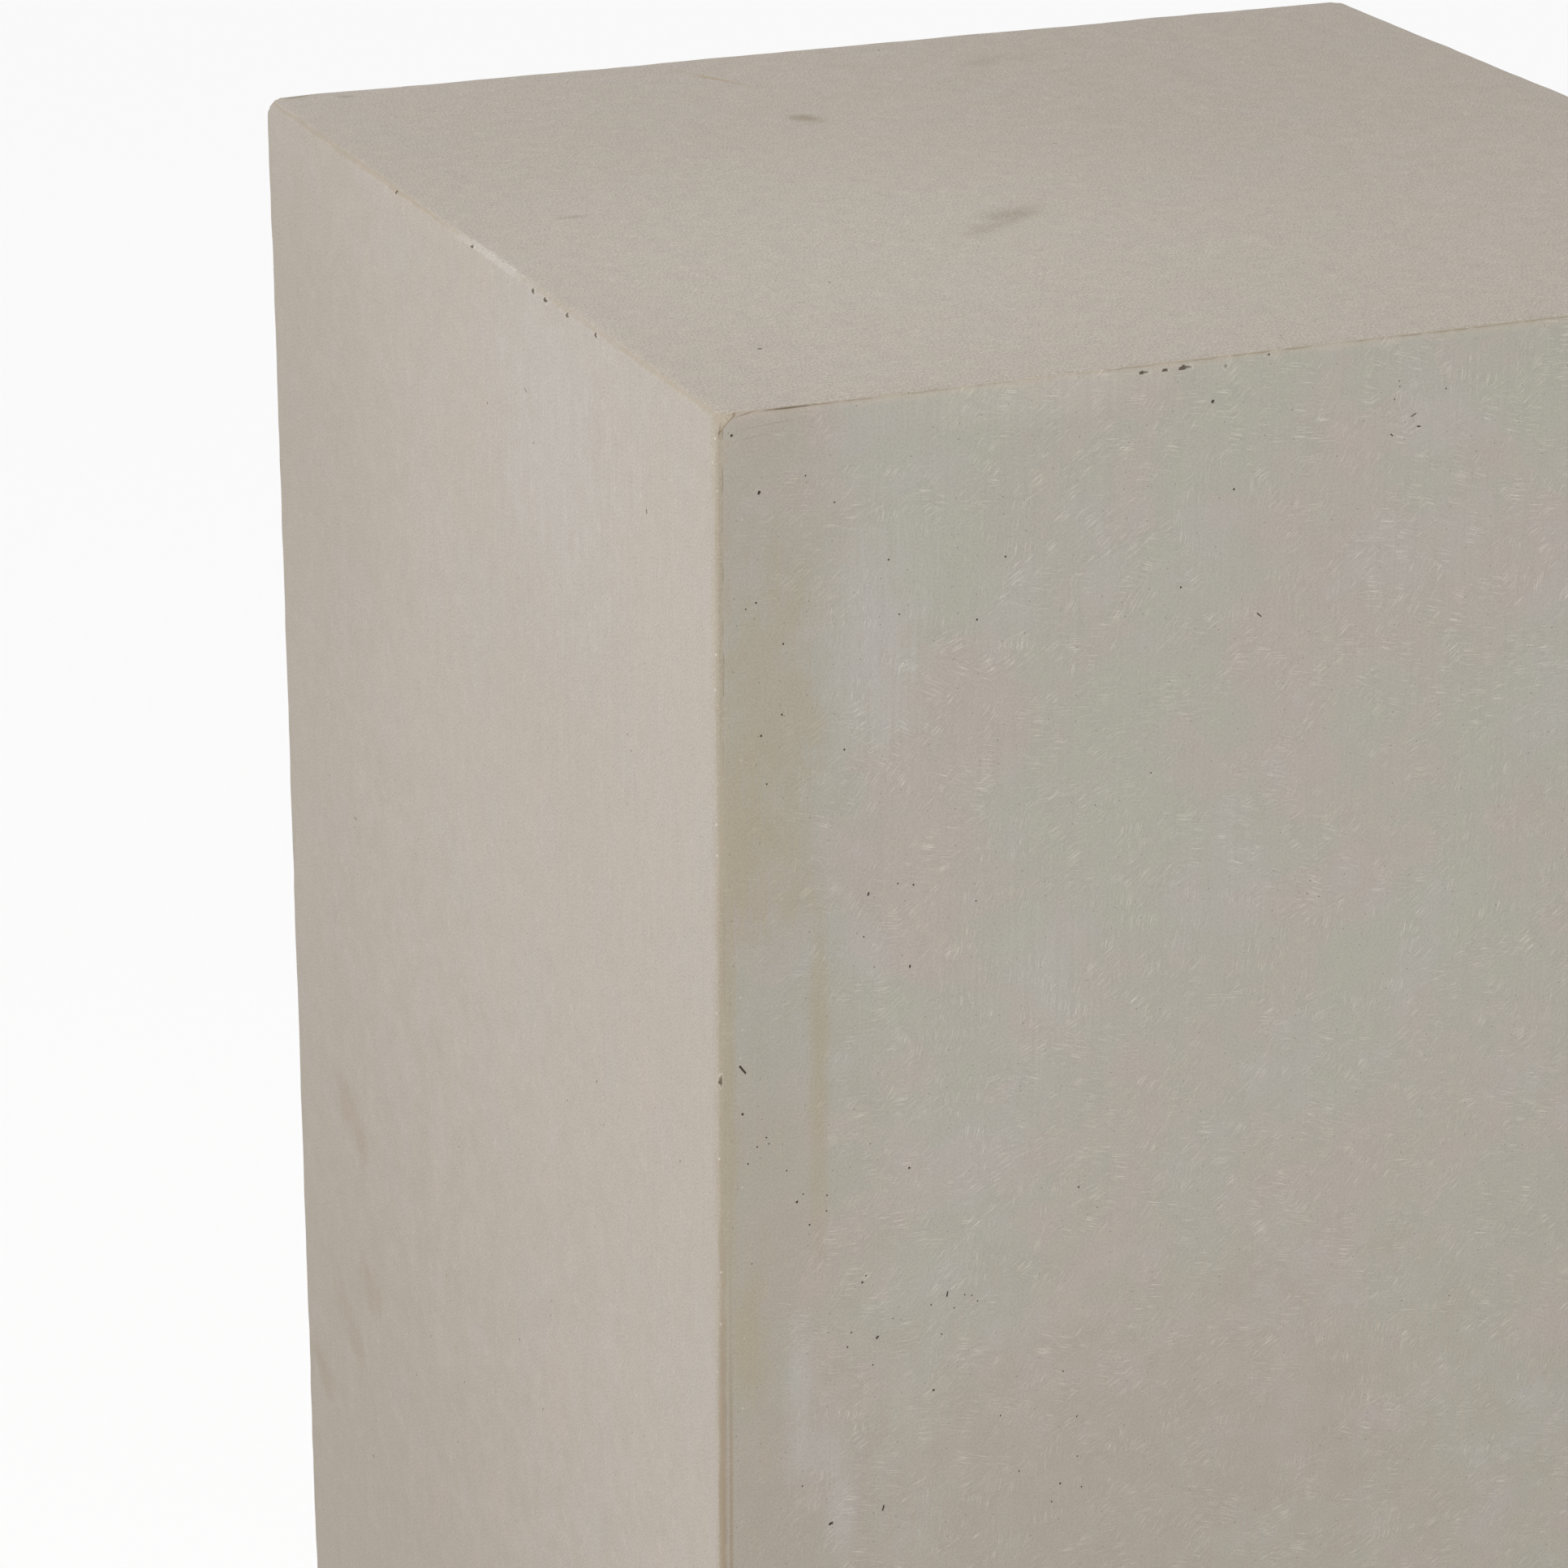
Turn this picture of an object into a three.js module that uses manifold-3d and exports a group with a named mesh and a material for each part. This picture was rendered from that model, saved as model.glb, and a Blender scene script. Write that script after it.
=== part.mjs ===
// A square decorative column for display: one hollow casting in fibre-cement with four plain sides,
// a closed top and an open underside. Its edges are rubbed to a fine arris and its top corners are
// blunted. Millimetres, +Z up. The origin is the middle of the foot, and +X and +Y stand square to
// the sides.
import * as THREE from "three";
import { mergeVertices } from "three/addons/utils/BufferGeometryUtils.js";
import Module from "manifold-3d";

// Driving dimensions
const SIDE = 300; // outer width of each side
const HEIGHT = 1000; // from the foot to the top face
const WALL = 12; // thickness of the sides and of the top
const UPRIGHT_ARRIS = 1.8; // radius rubbed on the upright edges
const RIM_ARRIS = 1.4; // radius rubbed round the top and the foot
const INSIDE_FILLET = 4; // radius in the upright inside corners
const WEAR_REACH = 7.5; // how far the blunting of a top corner runs along each edge
const WEAR_DEPTH = 8; // how deep under the three faces of a top corner the wear ball is centred

// Facets that stand for the round stretches
const ARC_DIVISIONS = 2; // half the facets in a quarter circle of an outline
const RIM_FACETS = 4;
const WEAR_BALL_DETAIL = 5;

const CUT_PAST = 1; // how far a cutter runs past the surface that it opens

const wasm = await Module();
wasm.setup();

// A closed geometry as a solid that can be cut.
function solidOf(geometry) {
  geometry.deleteAttribute("normal");
  geometry.deleteAttribute("uv");
  const merged = mergeVertices(geometry);
  return new wasm.Manifold(
    new wasm.Mesh({
      numProp: 3,
      vertProperties: new Float32Array(merged.attributes.position.array),
      triVerts: new Uint32Array(merged.index.array),
    }),
  );
}

// A solid as a geometry that a mesh can hold.
function geometryOf(solid) {
  const mesh = solid.getMesh();
  const geometry = new THREE.BufferGeometry();
  geometry.setAttribute("position", new THREE.BufferAttribute(mesh.vertProperties, 3));
  geometry.setIndex(new THREE.BufferAttribute(mesh.triVerts, 1));
  geometry.computeVertexNormals();
  return geometry;
}

// A square outline about the origin with a quarter circle at each corner.
function roundedSquare(side, radius) {
  const reach = side / 2 - radius;
  const quarter = Math.PI / 2;
  const outline = new THREE.Shape();
  outline.absarc(reach, reach, radius, 0, quarter);
  outline.absarc(-reach, reach, radius, quarter, 2 * quarter);
  outline.absarc(-reach, -reach, radius, 2 * quarter, 3 * quarter);
  outline.absarc(reach, -reach, radius, 3 * quarter, 4 * quarter);
  outline.closePath();
  return outline;
}

// The full block of the column, with the arris round its top and its foot.
function outerBlock() {
  const block = new THREE.ExtrudeGeometry(roundedSquare(SIDE, UPRIGHT_ARRIS), {
    depth: HEIGHT - 2 * RIM_ARRIS,
    curveSegments: ARC_DIVISIONS,
    bevelThickness: RIM_ARRIS,
    bevelSize: RIM_ARRIS,
    bevelOffset: -RIM_ARRIS,
    bevelSegments: RIM_FACETS,
  });
  return solidOf(block.translate(0, 0, RIM_ARRIS));
}

// The hollow that the mould's core leaves, open at the foot.
function innerHollow() {
  const hollow = new THREE.ExtrudeGeometry(roundedSquare(SIDE - 2 * WALL, INSIDE_FILLET), {
    depth: HEIGHT - WALL + CUT_PAST,
    curveSegments: ARC_DIVISIONS,
    bevelEnabled: false,
  });
  return solidOf(hollow.translate(0, 0, -CUT_PAST));
}

// What wear has taken off the top corner that lies towards the given signs of X and Y: a block
// over the corner less the ball that the corner is worn down to.
function cornerWear(signX, signY) {
  const ballRadius = Math.hypot(WEAR_DEPTH - WEAR_REACH, WEAR_DEPTH, WEAR_DEPTH);
  const blockSide = WEAR_DEPTH + CUT_PAST;
  const inset = SIDE / 2 - WEAR_DEPTH;
  const centre = new THREE.Vector3(signX * inset, signY * inset, HEIGHT - WEAR_DEPTH);
  const outward = new THREE.Vector3(signX, signY, 1);
  const blockCentre = centre.clone().addScaledVector(outward, blockSide / 2);
  const block = new THREE.BoxGeometry(blockSide, blockSide, blockSide).translate(...blockCentre);
  const ball = new THREE.IcosahedronGeometry(ballRadius, WEAR_BALL_DETAIL).translate(...centre);
  return solidOf(block).subtract(solidOf(ball));
}

// The whole casting as one solid.
function columnShell() {
  let shell = outerBlock().subtract(innerHollow());
  for (const signX of [-1, 1]) {
    for (const signY of [-1, 1]) {
      shell = shell.subtract(cornerWear(signX, signY));
    }
  }
  return geometryOf(shell);
}

const cement = new THREE.MeshStandardMaterial({ color: 0xb7ada0, roughness: 0.85, metalness: 0 });

const column = new THREE.Group();
const shell = new THREE.Mesh(columnShell(), cement);
shell.name = "column_shell";
column.add(shell);

export default column;
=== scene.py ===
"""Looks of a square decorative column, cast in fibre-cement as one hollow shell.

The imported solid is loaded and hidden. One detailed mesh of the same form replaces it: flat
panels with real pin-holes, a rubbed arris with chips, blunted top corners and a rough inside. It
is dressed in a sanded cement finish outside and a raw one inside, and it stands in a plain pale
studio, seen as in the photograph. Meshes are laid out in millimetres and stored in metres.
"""

import logging
import math
import random
from dataclasses import dataclass, field
from enum import Enum, IntEnum
from typing import Dict, List, Mapping, Optional, Sequence, Tuple, Union

import bmesh
import bpy
import numpy as np
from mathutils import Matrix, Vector, noise
from mathutils.geometry import delaunay_2d_cdt


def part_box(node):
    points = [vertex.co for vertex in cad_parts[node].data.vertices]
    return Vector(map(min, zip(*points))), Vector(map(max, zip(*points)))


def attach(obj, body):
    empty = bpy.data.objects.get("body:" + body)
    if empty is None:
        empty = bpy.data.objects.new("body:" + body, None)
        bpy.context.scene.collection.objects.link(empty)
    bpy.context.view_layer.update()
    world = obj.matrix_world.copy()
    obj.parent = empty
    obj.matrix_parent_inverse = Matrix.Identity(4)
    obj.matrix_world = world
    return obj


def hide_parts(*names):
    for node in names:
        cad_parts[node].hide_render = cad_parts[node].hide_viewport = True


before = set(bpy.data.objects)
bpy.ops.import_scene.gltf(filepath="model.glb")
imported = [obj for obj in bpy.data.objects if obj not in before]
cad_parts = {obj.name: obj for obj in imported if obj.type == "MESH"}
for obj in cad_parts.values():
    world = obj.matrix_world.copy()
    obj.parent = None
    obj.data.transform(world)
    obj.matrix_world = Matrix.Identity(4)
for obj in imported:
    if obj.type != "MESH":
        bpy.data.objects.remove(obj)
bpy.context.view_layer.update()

MM = 0.001
NODE = "column_shell"
BODY = "root"
LOG = logging.getLogger("column")

Colour = Tuple[float, float, float, float]
Place = Tuple[float, float]
Key = Union[str, int]
Term = Union["Signal", float, Sequence[float]]


def srgb(red: int, green: int, blue: int) -> Colour:
    """Turns a colour as seen on a screen into the linear one that shaders use.

    Args:
        red: Red from 0 to 255.
        green: Green from 0 to 255.
        blue: Blue from 0 to 255.

    Returns:
        The linear colour with full alpha.
    """
    parts = [value / 255 for value in (red, green, blue)]
    linear = [p / 12.92 if p <= 0.04045 else ((p + 0.055) / 1.055) ** 2.4 for p in parts]
    return (linear[0], linear[1], linear[2], 1.0)


# Shader expressions


class Signal:
    """A shader socket that takes part in Python expressions."""

    def __init__(self, graph: "ShaderGraph", socket: bpy.types.NodeSocket) -> None:
        """Keeps the socket and the graph that it belongs to."""
        self.graph = graph
        self.socket = socket

    def _join(self, operation: str, left: Term, right: Term) -> "Signal":
        """Adds the node for one operator.

        Args:
            operation: The operation of the Math or Vector Math node.
            left: The first term.
            right: The second term.

        Returns:
            The node's result.
        """
        kind = "ShaderNodeVectorMath" if self.socket.type == "VECTOR" else "ShaderNodeMath"
        return self.graph.node(kind, {"operation": operation}, {0: left, 1: right})

    def __add__(self, other: Term) -> "Signal":
        """self + other"""
        return self._join("ADD", self, other)

    def __radd__(self, other: Term) -> "Signal":
        """other + self"""
        return self._join("ADD", other, self)

    def __sub__(self, other: Term) -> "Signal":
        """self - other"""
        return self._join("SUBTRACT", self, other)

    def __rsub__(self, other: Term) -> "Signal":
        """other - self"""
        return self._join("SUBTRACT", other, self)

    def __mul__(self, other: Term) -> "Signal":
        """self * other"""
        return self._join("MULTIPLY", self, other)

    def __rmul__(self, other: Term) -> "Signal":
        """other * self"""
        return self._join("MULTIPLY", other, self)

    def __abs__(self) -> "Signal":
        """abs(self)"""
        return self._join("ABSOLUTE", self, 0.0)

    def sign(self) -> "Signal":
        """-1, 0 or 1 after the sign of self."""
        return self._join("SIGN", self, 0.0)

    def fade(self, start: float, end: float, full: float = 1.0, empty: float = 0.0) -> "Signal":
        """Goes smoothly from one value to another.

        Args:
            start: Where the result is still empty. It may be larger than end.
            end: Where the result is full.
            full: The value from end on.
            empty: The value up to start.

        Returns:
            The eased value.
        """
        settings = {"interpolation_type": "SMOOTHSTEP"}
        low, high = (empty, full) if start < end else (full, empty)
        sockets = {"Value": self, "From Min": min(start, end), "From Max": max(start, end)}
        return self.graph.node("ShaderNodeMapRange", settings, {**sockets, "To Min": low, "To Max": high})

    def beside(self, output: str) -> "Signal":
        """Another output of the same node."""
        return self.graph.output(self.socket.node, output)

    def part(self, axis: str) -> "Signal":
        """One part of a vector: X, Y or Z."""
        return self.graph.node("ShaderNodeSeparateXYZ", None, {0: self}, axis)


class ShaderGraph:
    """The nodes of one material."""

    def __init__(self, name: str) -> None:
        """Starts an empty material.

        Args:
            name: The material's name.
        """
        self.material = bpy.data.materials.new(name)
        self.material.use_nodes = True
        self.tree = self.material.node_tree
        self.tree.nodes.clear()

    @staticmethod
    def _find(sockets: bpy.types.bpy_prop_collection, key: Key) -> bpy.types.NodeSocket:
        """Finds a socket.

        Args:
            sockets: The inputs or outputs of a node.
            key: The socket's place, identifier or name.

        Returns:
            The socket.
        """
        if isinstance(key, int):
            return sockets[key]
        for socket in sockets:
            if socket.identifier == key:
                return socket
        return sockets[key]

    def node(
        self,
        kind: str,
        settings: Optional[Mapping[str, object]] = None,
        sockets: Optional[Mapping[Key, Term]] = None,
        output: Key = 0,
    ) -> Signal:
        """Adds one node.

        Args:
            kind: The node's type.
            settings: Its properties, which are set first.
            sockets: The values or links of its inputs.
            output: The output to return.

        Returns:
            That output.
        """
        made = self.tree.nodes.new(kind)
        for name, value in (settings or {}).items():
            setattr(made, name, value)
        for key, term in (sockets or {}).items():
            entry = self._find(made.inputs, key)
            if isinstance(term, Signal):
                self.tree.links.new(term.socket, entry)
            elif entry.type == "VECTOR" and isinstance(term, (int, float)):
                entry.default_value = (term, term, term)
            else:
                entry.default_value = term
        return self.output(made, output)

    def output(self, node: bpy.types.Node, key: Key) -> Signal:
        """One output of a node."""
        return Signal(self, self._find(node.outputs, key))

    def noise(
        self, vector: Signal, size: float, detail: float = 2.0, rough: float = 0.5, axes: int = 2
    ) -> Signal:
        """Adds soft noise.

        Args:
            vector: Where it is read, in millimetres or in steps of its own.
            size: The width of its largest lumps.
            detail: How many finer layers it has.
            rough: How strong the finer layers are.
            axes: 2 for a flat field and 3 for one in space.

        Returns:
            The noise, about 0.5 on average.
        """
        sockets = {"Vector": vector, "Scale": 1 / size, "Detail": detail, "Roughness": rough}
        return self.node("ShaderNodeTexNoise", {"noise_dimensions": f"{axes}D"}, sockets)

    def blend(self, base: Term, over: Term, amount: Term, how: str = "MIX") -> Signal:
        """Lays one colour over another.

        Args:
            base: The colour below.
            over: The colour on top.
            amount: How much of it covers, from 0 to 1.
            how: The way of mixing.

        Returns:
            The mixed colour.
        """
        settings = {"data_type": "RGBA", "blend_type": how}
        sockets = {"Factor_Float": amount, "A_Color": base, "B_Color": over}
        return self.node("ShaderNodeMix", settings, sockets, "Result_Color")

    def join(self, x: Term, y: Term, z: Term = 0.0) -> Signal:
        """A vector from its three parts."""
        return self.node("ShaderNodeCombineXYZ", None, {"X": x, "Y": y, "Z": z})

    def dot(self, left: Term, right: Term) -> Signal:
        """The dot product of two vectors."""
        return self.node("ShaderNodeVectorMath", {"operation": "DOT_PRODUCT"}, {0: left, 1: right}, "Value")

    def length(self, vector: Signal) -> Signal:
        """The length of a vector."""
        return self.node("ShaderNodeVectorMath", {"operation": "LENGTH"}, {0: vector}, "Value")

    def spread(self, flat: Signal, middle: Place, tilt: float, size: Place) -> Signal:
        """Measures a place on the sheet from a middle, along a tilt and across it.

        Args:
            flat: The place on the sheet, with 1 as its third part.
            middle: The point that it is measured from.
            tilt: The direction in degrees.
            size: The lengths along and across that count as 1.

        Returns:
            The two measures.
        """
        turn = math.radians(tilt)
        cosine, sine = math.cos(turn), math.sin(turn)
        along = (cosine / size[0], sine / size[0], -(middle[0] * cosine + middle[1] * sine) / size[0])
        over = (-sine / size[1], cosine / size[1], (middle[0] * sine - middle[1] * cosine) / size[1])
        return self.join(self.dot(flat, along), self.dot(flat, over))

    def attribute(self, name: str) -> Signal:
        """A value that the mesh keeps at its points."""
        return self.node("ShaderNodeAttribute", {"attribute_name": name}, None, "Fac")

    def position(self) -> Signal:
        """The place on the object in millimetres."""
        return self.node("ShaderNodeTexCoord", None, None, "Object") * (1 / MM)

    def bump(self, height: Signal, strength: float, distance: float) -> Signal:
        """A normal bent by a height.

        Args:
            height: The height, from 0 to 1.
            strength: How much of it is used.
            distance: The real height of 1, in metres.

        Returns:
            The bent normal.
        """
        sockets = {"Strength": strength, "Distance": distance, "Height": height}
        return self.node("ShaderNodeBump", None, sockets)

    def surface(self, sockets: Mapping[Key, Term]) -> bpy.types.Material:
        """Ends the material in a Principled shader.

        Args:
            sockets: The values or links of the shader's inputs.

        Returns:
            The finished material.
        """
        shader = self.node("ShaderNodeBsdfPrincipled", None, sockets)
        end = self.tree.nodes.new("ShaderNodeOutputMaterial")
        self.tree.links.new(shader.socket, end.inputs["Surface"])
        return self.material


# Faces and marks of the column


@dataclass(frozen=True)
class Facing:
    """How a face lies: where it looks, and its own right and up as seen from outside.

    The shift is how far along the flat sheet of the finishes the face lies, in millimetres.
    """

    outward: Tuple[int, int, int]
    across: Tuple[int, int, int]
    upward: Tuple[int, int, int]
    shift: float = 0.0


class Face(Enum):
    """The faces of the shell. The inner walls share the directions of the sides they back."""

    FRONT = Facing((0, -1, 0), (1, 0, 0), (0, 0, 1), -410.0)
    RIGHT = Facing((1, 0, 0), (0, 1, 0), (0, 0, 1), 830.0)
    BACK = Facing((0, 1, 0), (-1, 0, 0), (0, 0, 1), 410.0)
    LEFT = Facing((-1, 0, 0), (0, -1, 0), (0, 0, 1), -830.0)
    TOP = Facing((0, 0, 1), (1, 0, 0), (0, 1, 0), 1650.0)
    FOOT = Facing((0, 0, -1), (-1, 0, 0), (0, 1, 0))

    def axes(self) -> Tuple[np.ndarray, np.ndarray, np.ndarray]:
        """The outward, across and upward directions as arrays."""
        facing = self.value
        return (
            np.array(facing.outward, float),
            np.array(facing.across, float),
            np.array(facing.upward, float),
        )

    def on_sheet(self, right: float, down: float, side: float, height: float) -> Place:
        """Finds a place on the flat sheet of the finishes.

        Args:
            right: How far right of the face's left edge it lies.
            down: How far below the face's top edge.
            side: The width of the column.
            height: Its height.

        Returns:
            The place on the sheet.
        """
        top = side / 2 if self is Face.TOP else height
        return (right - side / 2 + self.value.shift, top - down)


SIDES = (Face.FRONT, Face.RIGHT, Face.BACK, Face.LEFT)


@dataclass(frozen=True)
class Pore:
    """A pin-hole or slit. Sizes are millimetres, from the face's left and top edges."""

    face: Face
    right: float
    down: float
    radius: float
    reach: float = 0.0
    tilt: float = 0.0


@dataclass(frozen=True)
class Chip:
    """A small break in an edge. Sizes are millimetres.

    An edge is named by the two faces that meet in it, and the place is measured along it: to the
    right on the first face for an edge round the top, and down from the top for an upright one.
    The drop is how far below the edge's middle it sits, for an edge round the top.
    """

    faces: Tuple[Face, Face]
    along: float
    radius: float
    drop: float = 0.0


@dataclass(frozen=True)
class Tint:
    """A soft patch of colour on a face, with an outline that is more or less torn. Some are stains and
    smudges, some painted shade and painted light.

    Sizes are millimetres, from the face's left and top edges.
    """

    face: Face
    right: float
    down: float
    half_width: float
    half_height: float
    tilt: float
    colour: Colour
    strength: float
    torn: float = 1.0


# Finishes


@dataclass(frozen=True)
class ScratchLayer:
    """Sanding scratches in patches, all of them leaning about the same way, in millimetres."""

    tilt: float
    length: float
    width: float
    strength: float


@dataclass(frozen=True)
class EdgeLook:
    """How an edge is rubbed. Strengths go from 0 to 1, and reaches are millimetres."""

    cream: float = 0.0
    cream_reach: float = 1.6
    cream_colour: Colour = srgb(198, 182, 163)
    grit: float = 0.0
    grit_reach: float = 1.3
    line: float = 0.0
    line_gap: float = 0.9
    smear: float = 0.0


@dataclass(frozen=True)
class FaceLook:
    """How the finish shows on a face and on the opposite one. Sizes are millimetres."""

    name: str
    face: Face
    cool: float
    rosy: float
    pale: float
    mottle: float
    grain: float
    streak: float
    streak_size: Place
    upright: EdgeLook
    rim: EdgeLook
    scratches: Tuple[ScratchLayer, ...]
    band: float = 0.0
    cut_corner: bool = False


class Skin:
    """The skin of a face and of the opposite one: its material, places, distances and noises.

    The faces lie apart from each other on one flat sheet, each as it is seen from outside, in
    millimetres. The third part of a place on the sheet is 1, so that a dot product can also shift
    it. The noises are a fine grain, how worn the skin is, and fine streaks.
    """

    grain_size: float = 0.5
    worn_size: float = 13.0

    def __init__(self, look: FaceLook, side: float, height: float) -> None:
        """Starts the material of a face.

        Args:
            look: How the finish shows there.
            side: The width of the column.
            height: Its height.
        """
        graph = ShaderGraph(look.name)
        outward, across, upward = (tuple(axis) for axis in look.face.axes())
        point = graph.position()
        right = graph.dot(point, across)
        up = graph.dot(point, upward)
        way = graph.dot(point, outward).sign()
        wide, tall = look.streak_size
        self.look = look
        self.graph = graph
        self.flat = graph.join((right + look.face.value.shift) * way, up, 1.0)
        self.from_upright = side / 2 - abs(right)
        self.from_rim = side / 2 - abs(up) if look.face is Face.TOP else height - up
        self.grain = graph.noise(self.flat, self.grain_size, 1.0, 0.6)
        self.worn = graph.noise(self.flat, self.worn_size, 3.0, 0.66)
        self.streaks = graph.noise(self.flat * (1 / wide, 1 / tall, 1.0), 1.0, 2.0, 0.6)


@dataclass(frozen=True)
class Cloud:
    """Clouds of one colour: how wide they are, and where in their noise they begin and are full.

    The pull is how far wear draws their outlines out, or in where it is negative.
    """

    colour: Colour
    size: float
    rough: float
    start: float
    full: float
    shift: Place
    pull: float


@dataclass(frozen=True)
class CementFinish:
    """Sanded fibre-cement: cloudy warm grey with scratches, stains, painted shade and light, rubbed edges
    and pin-holes.
    """

    side: float
    height: float
    tints: Tuple[Tint, ...]
    tone: float = 0.91
    beige: Colour = srgb(177, 168, 158)
    rose: Cloud = Cloud(srgb(180, 169, 160), 58.0, 0.6, 0.42, 0.7, (310.0, 170.0), 0.5)
    green_grey: Cloud = Cloud(srgb(173, 170, 158), 44.0, 0.62, 0.3, 0.66, (0.0, 0.0), -0.5)
    lavender: Cloud = Cloud(srgb(177, 173, 170), 36.0, 0.65, 0.5, 0.72, (90.0, 430.0), 0.5)
    olive: Colour = srgb(172, 162, 144)
    sand: Colour = srgb(163, 152, 134)
    tan: Colour = srgb(142, 125, 102)
    cream: Colour = srgb(198, 182, 163)
    lime: Colour = srgb(203, 197, 187)
    pore: Colour = srgb(62, 54, 45)
    chipped: Colour = srgb(88, 77, 63)
    mottle_size: float = 5.0
    fleck_gap: float = 5.5
    clump_size: float = 7.0
    patch_size: float = 42.0
    patch_low: float = 0.34
    patch_range: float = 0.32
    grain_bump: float = 0.3
    grain_height: float = 0.08

    def material(self, look: FaceLook) -> bpy.types.Material:
        """Builds the finish for one kind of face.

        Args:
            look: How the finish shows there.

        Returns:
            The material.
        """
        skin = Skin(look, self.side, self.height)
        graph, grain, worn, streaks = skin.graph, skin.grain, skin.worn, skin.streaks
        colour = self._clouds(skin)
        if look.band:
            colour = self._bands(skin, colour)
        colour = self._edge(skin, look.upright, skin.from_upright, colour)
        colour = self._edge(skin, look.rim, skin.from_rim, colour)
        colour = self._corners(skin, colour)
        colour = self._stains_and_painted_light(skin, colour)
        mottle = graph.noise(skin.flat, self.mottle_size, 3.0, 0.68)
        shade = (mottle - 0.5) * look.mottle + (streaks - 0.5) * look.streak + (grain - 0.5) * look.grain
        shade = shade + self._scratches(skin) + self.tone
        colour = graph.blend(colour, graph.join(shade, shade, shade), 1.0, "MULTIPLY")
        return graph.surface(
            {
                "Base Color": self._holes(skin, colour),
                "Roughness": 0.86 - streaks * 0.06 - worn * 0.04,
                "Specular IOR Level": 0.3,
                "Normal": graph.bump(grain, self.grain_bump, self.grain_height * MM),
            }
        )

    def _clouds(self, skin: Skin) -> Signal:
        """Cloudy ground colour.

        Args:
            skin: The skin of the face.

        Returns:
            The ground colour.
        """
        look, graph = skin.look, skin.graph
        clouds = ((self.rose, look.rosy), (self.green_grey, look.cool), (self.lavender, look.pale))
        colour: Term = self.beige
        for cloud, strength in clouds:
            lumps = graph.noise(skin.flat + (*cloud.shift, 0.0), cloud.size, 2.0, cloud.rough)
            torn = lumps + (skin.worn - 0.5) * cloud.pull
            colour = graph.blend(colour, cloud.colour, torn.fade(cloud.start, cloud.full, strength))
        return colour

    def _bands(self, skin: Skin, colour: Signal) -> Signal:
        """Smeared bands beside the upright edges.

        Args:
            skin: The skin of the face.
            colour: The colour so far.

        Returns:
            The colour with the bands.
        """
        sway = skin.graph.noise(skin.flat * (1 / 150, 1 / 45, 1.0), 1.0, 2.0)
        reach = (skin.from_upright + sway * 10.0).fade(35.0, 12.0)
        smear = reach * sway.fade(0.42, 0.62, skin.look.band) * skin.streaks.fade(0.25, 0.72, 1.0, 0.4)
        return skin.graph.blend(colour, self.olive, smear)

    def _stains_and_painted_light(self, skin: Skin, colour: Signal) -> Signal:
        """The single stains, smudges and paler clouds, and patches of painted shade and painted light, with
        outlines that wear and streaks draw in.

        Args:
            skin: The skin of the face.
            colour: The colour so far.

        Returns:
            The colour with the stains.
        """
        graph = skin.graph
        ragged = skin.worn * 1.5 - skin.streaks * 0.9 - 0.3
        for tint in self.tints:
            if tint.face is skin.look.face:
                middle = tint.face.on_sheet(tint.right, tint.down, self.side, self.height)
                spread = graph.spread(skin.flat, middle, tint.tilt, (tint.half_width, tint.half_height))
                cover = (graph.length(spread) + ragged * tint.torn).fade(1.05, 0.1, tint.strength)
                colour = graph.blend(colour, tint.colour, cover)
        return colour

    def _scratches(self, skin: Skin) -> Signal:
        """Sanding scratches in patches that each lean their own way.

        Args:
            skin: The skin of the face.

        Returns:
            How much lighter the scratches are than the ground, about 0 on average.
        """
        graph, layers = skin.graph, skin.look.scratches
        clumps = graph.noise(skin.flat + (0.0, 260.0, 0.0), self.clump_size, 1.0)
        bend = graph.noise(skin.flat, 60.0, 0.0) * 16.0
        swayed = skin.flat + graph.join(0.0, bend)
        patch = graph.noise(skin.flat + (97.0, 31.0, 0.0), self.patch_size, 2.0, 0.6)
        share = self.patch_range / len(layers)
        lighter: Term = 0.0
        for number, layer in enumerate(layers):
            drawn = graph.spread(swayed, (0.0, 0.0), layer.tilt, (layer.length, layer.width))
            strokes = graph.noise(drawn, 1.0, 1.0, 0.55).fade(0.58, 0.8) - 0.05
            middle = self.patch_low + share * (number + 0.5)
            lighter = strokes * abs(patch - middle).fade(share, 0.25 * share, layer.strength) + lighter
        return lighter * clumps.fade(0.36, 0.62, 1.0, 0.15) * skin.from_upright.fade(4.0, 32.0, 1.0, 0.35)

    def _edge(self, skin: Skin, look: EdgeLook, gap: Signal, colour: Signal) -> Signal:
        """A rubbed edge.

        Args:
            skin: The skin of the face.
            look: How the edge is rubbed.
            gap: The distance from the edge.
            colour: The colour so far.

        Returns:
            The colour with the edge.
        """
        graph, grain, worn = skin.graph, skin.grain, skin.worn
        rough = gap + worn * 1.2 + grain * 0.8 - 1.0
        if look.smear:
            beside = abs(rough - 2.2).fade(1.7, 0.3, look.smear) * worn.fade(0.42, 0.62)
            colour = graph.blend(colour, self.olive, beside)
        if look.cream:
            bead = rough.fade(look.cream_reach, 0.2, look.cream) * worn.fade(0.36, 0.6, 1.0, 0.3)
            colour = graph.blend(colour, look.cream_colour, bead)
        if look.grit:
            sandy = rough.fade(look.grit_reach + 0.3, look.grit_reach - 0.3, look.grit)
            colour = graph.blend(colour, self.sand, sandy)
            colour = graph.blend(colour, self.lime, sandy * grain.fade(0.46, 0.3, 0.45))
            colour = graph.blend(colour, self.tan, sandy * grain.fade(0.52, 0.68, 0.7))
        if look.line:
            drawn = abs(gap + worn * 0.9 - 0.45 - look.line_gap).fade(0.2, 0.03, look.line)
            colour = graph.blend(colour, self.tan, drawn * worn.fade(0.58, 0.42, 1.0, 0.1))
        return colour

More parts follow.
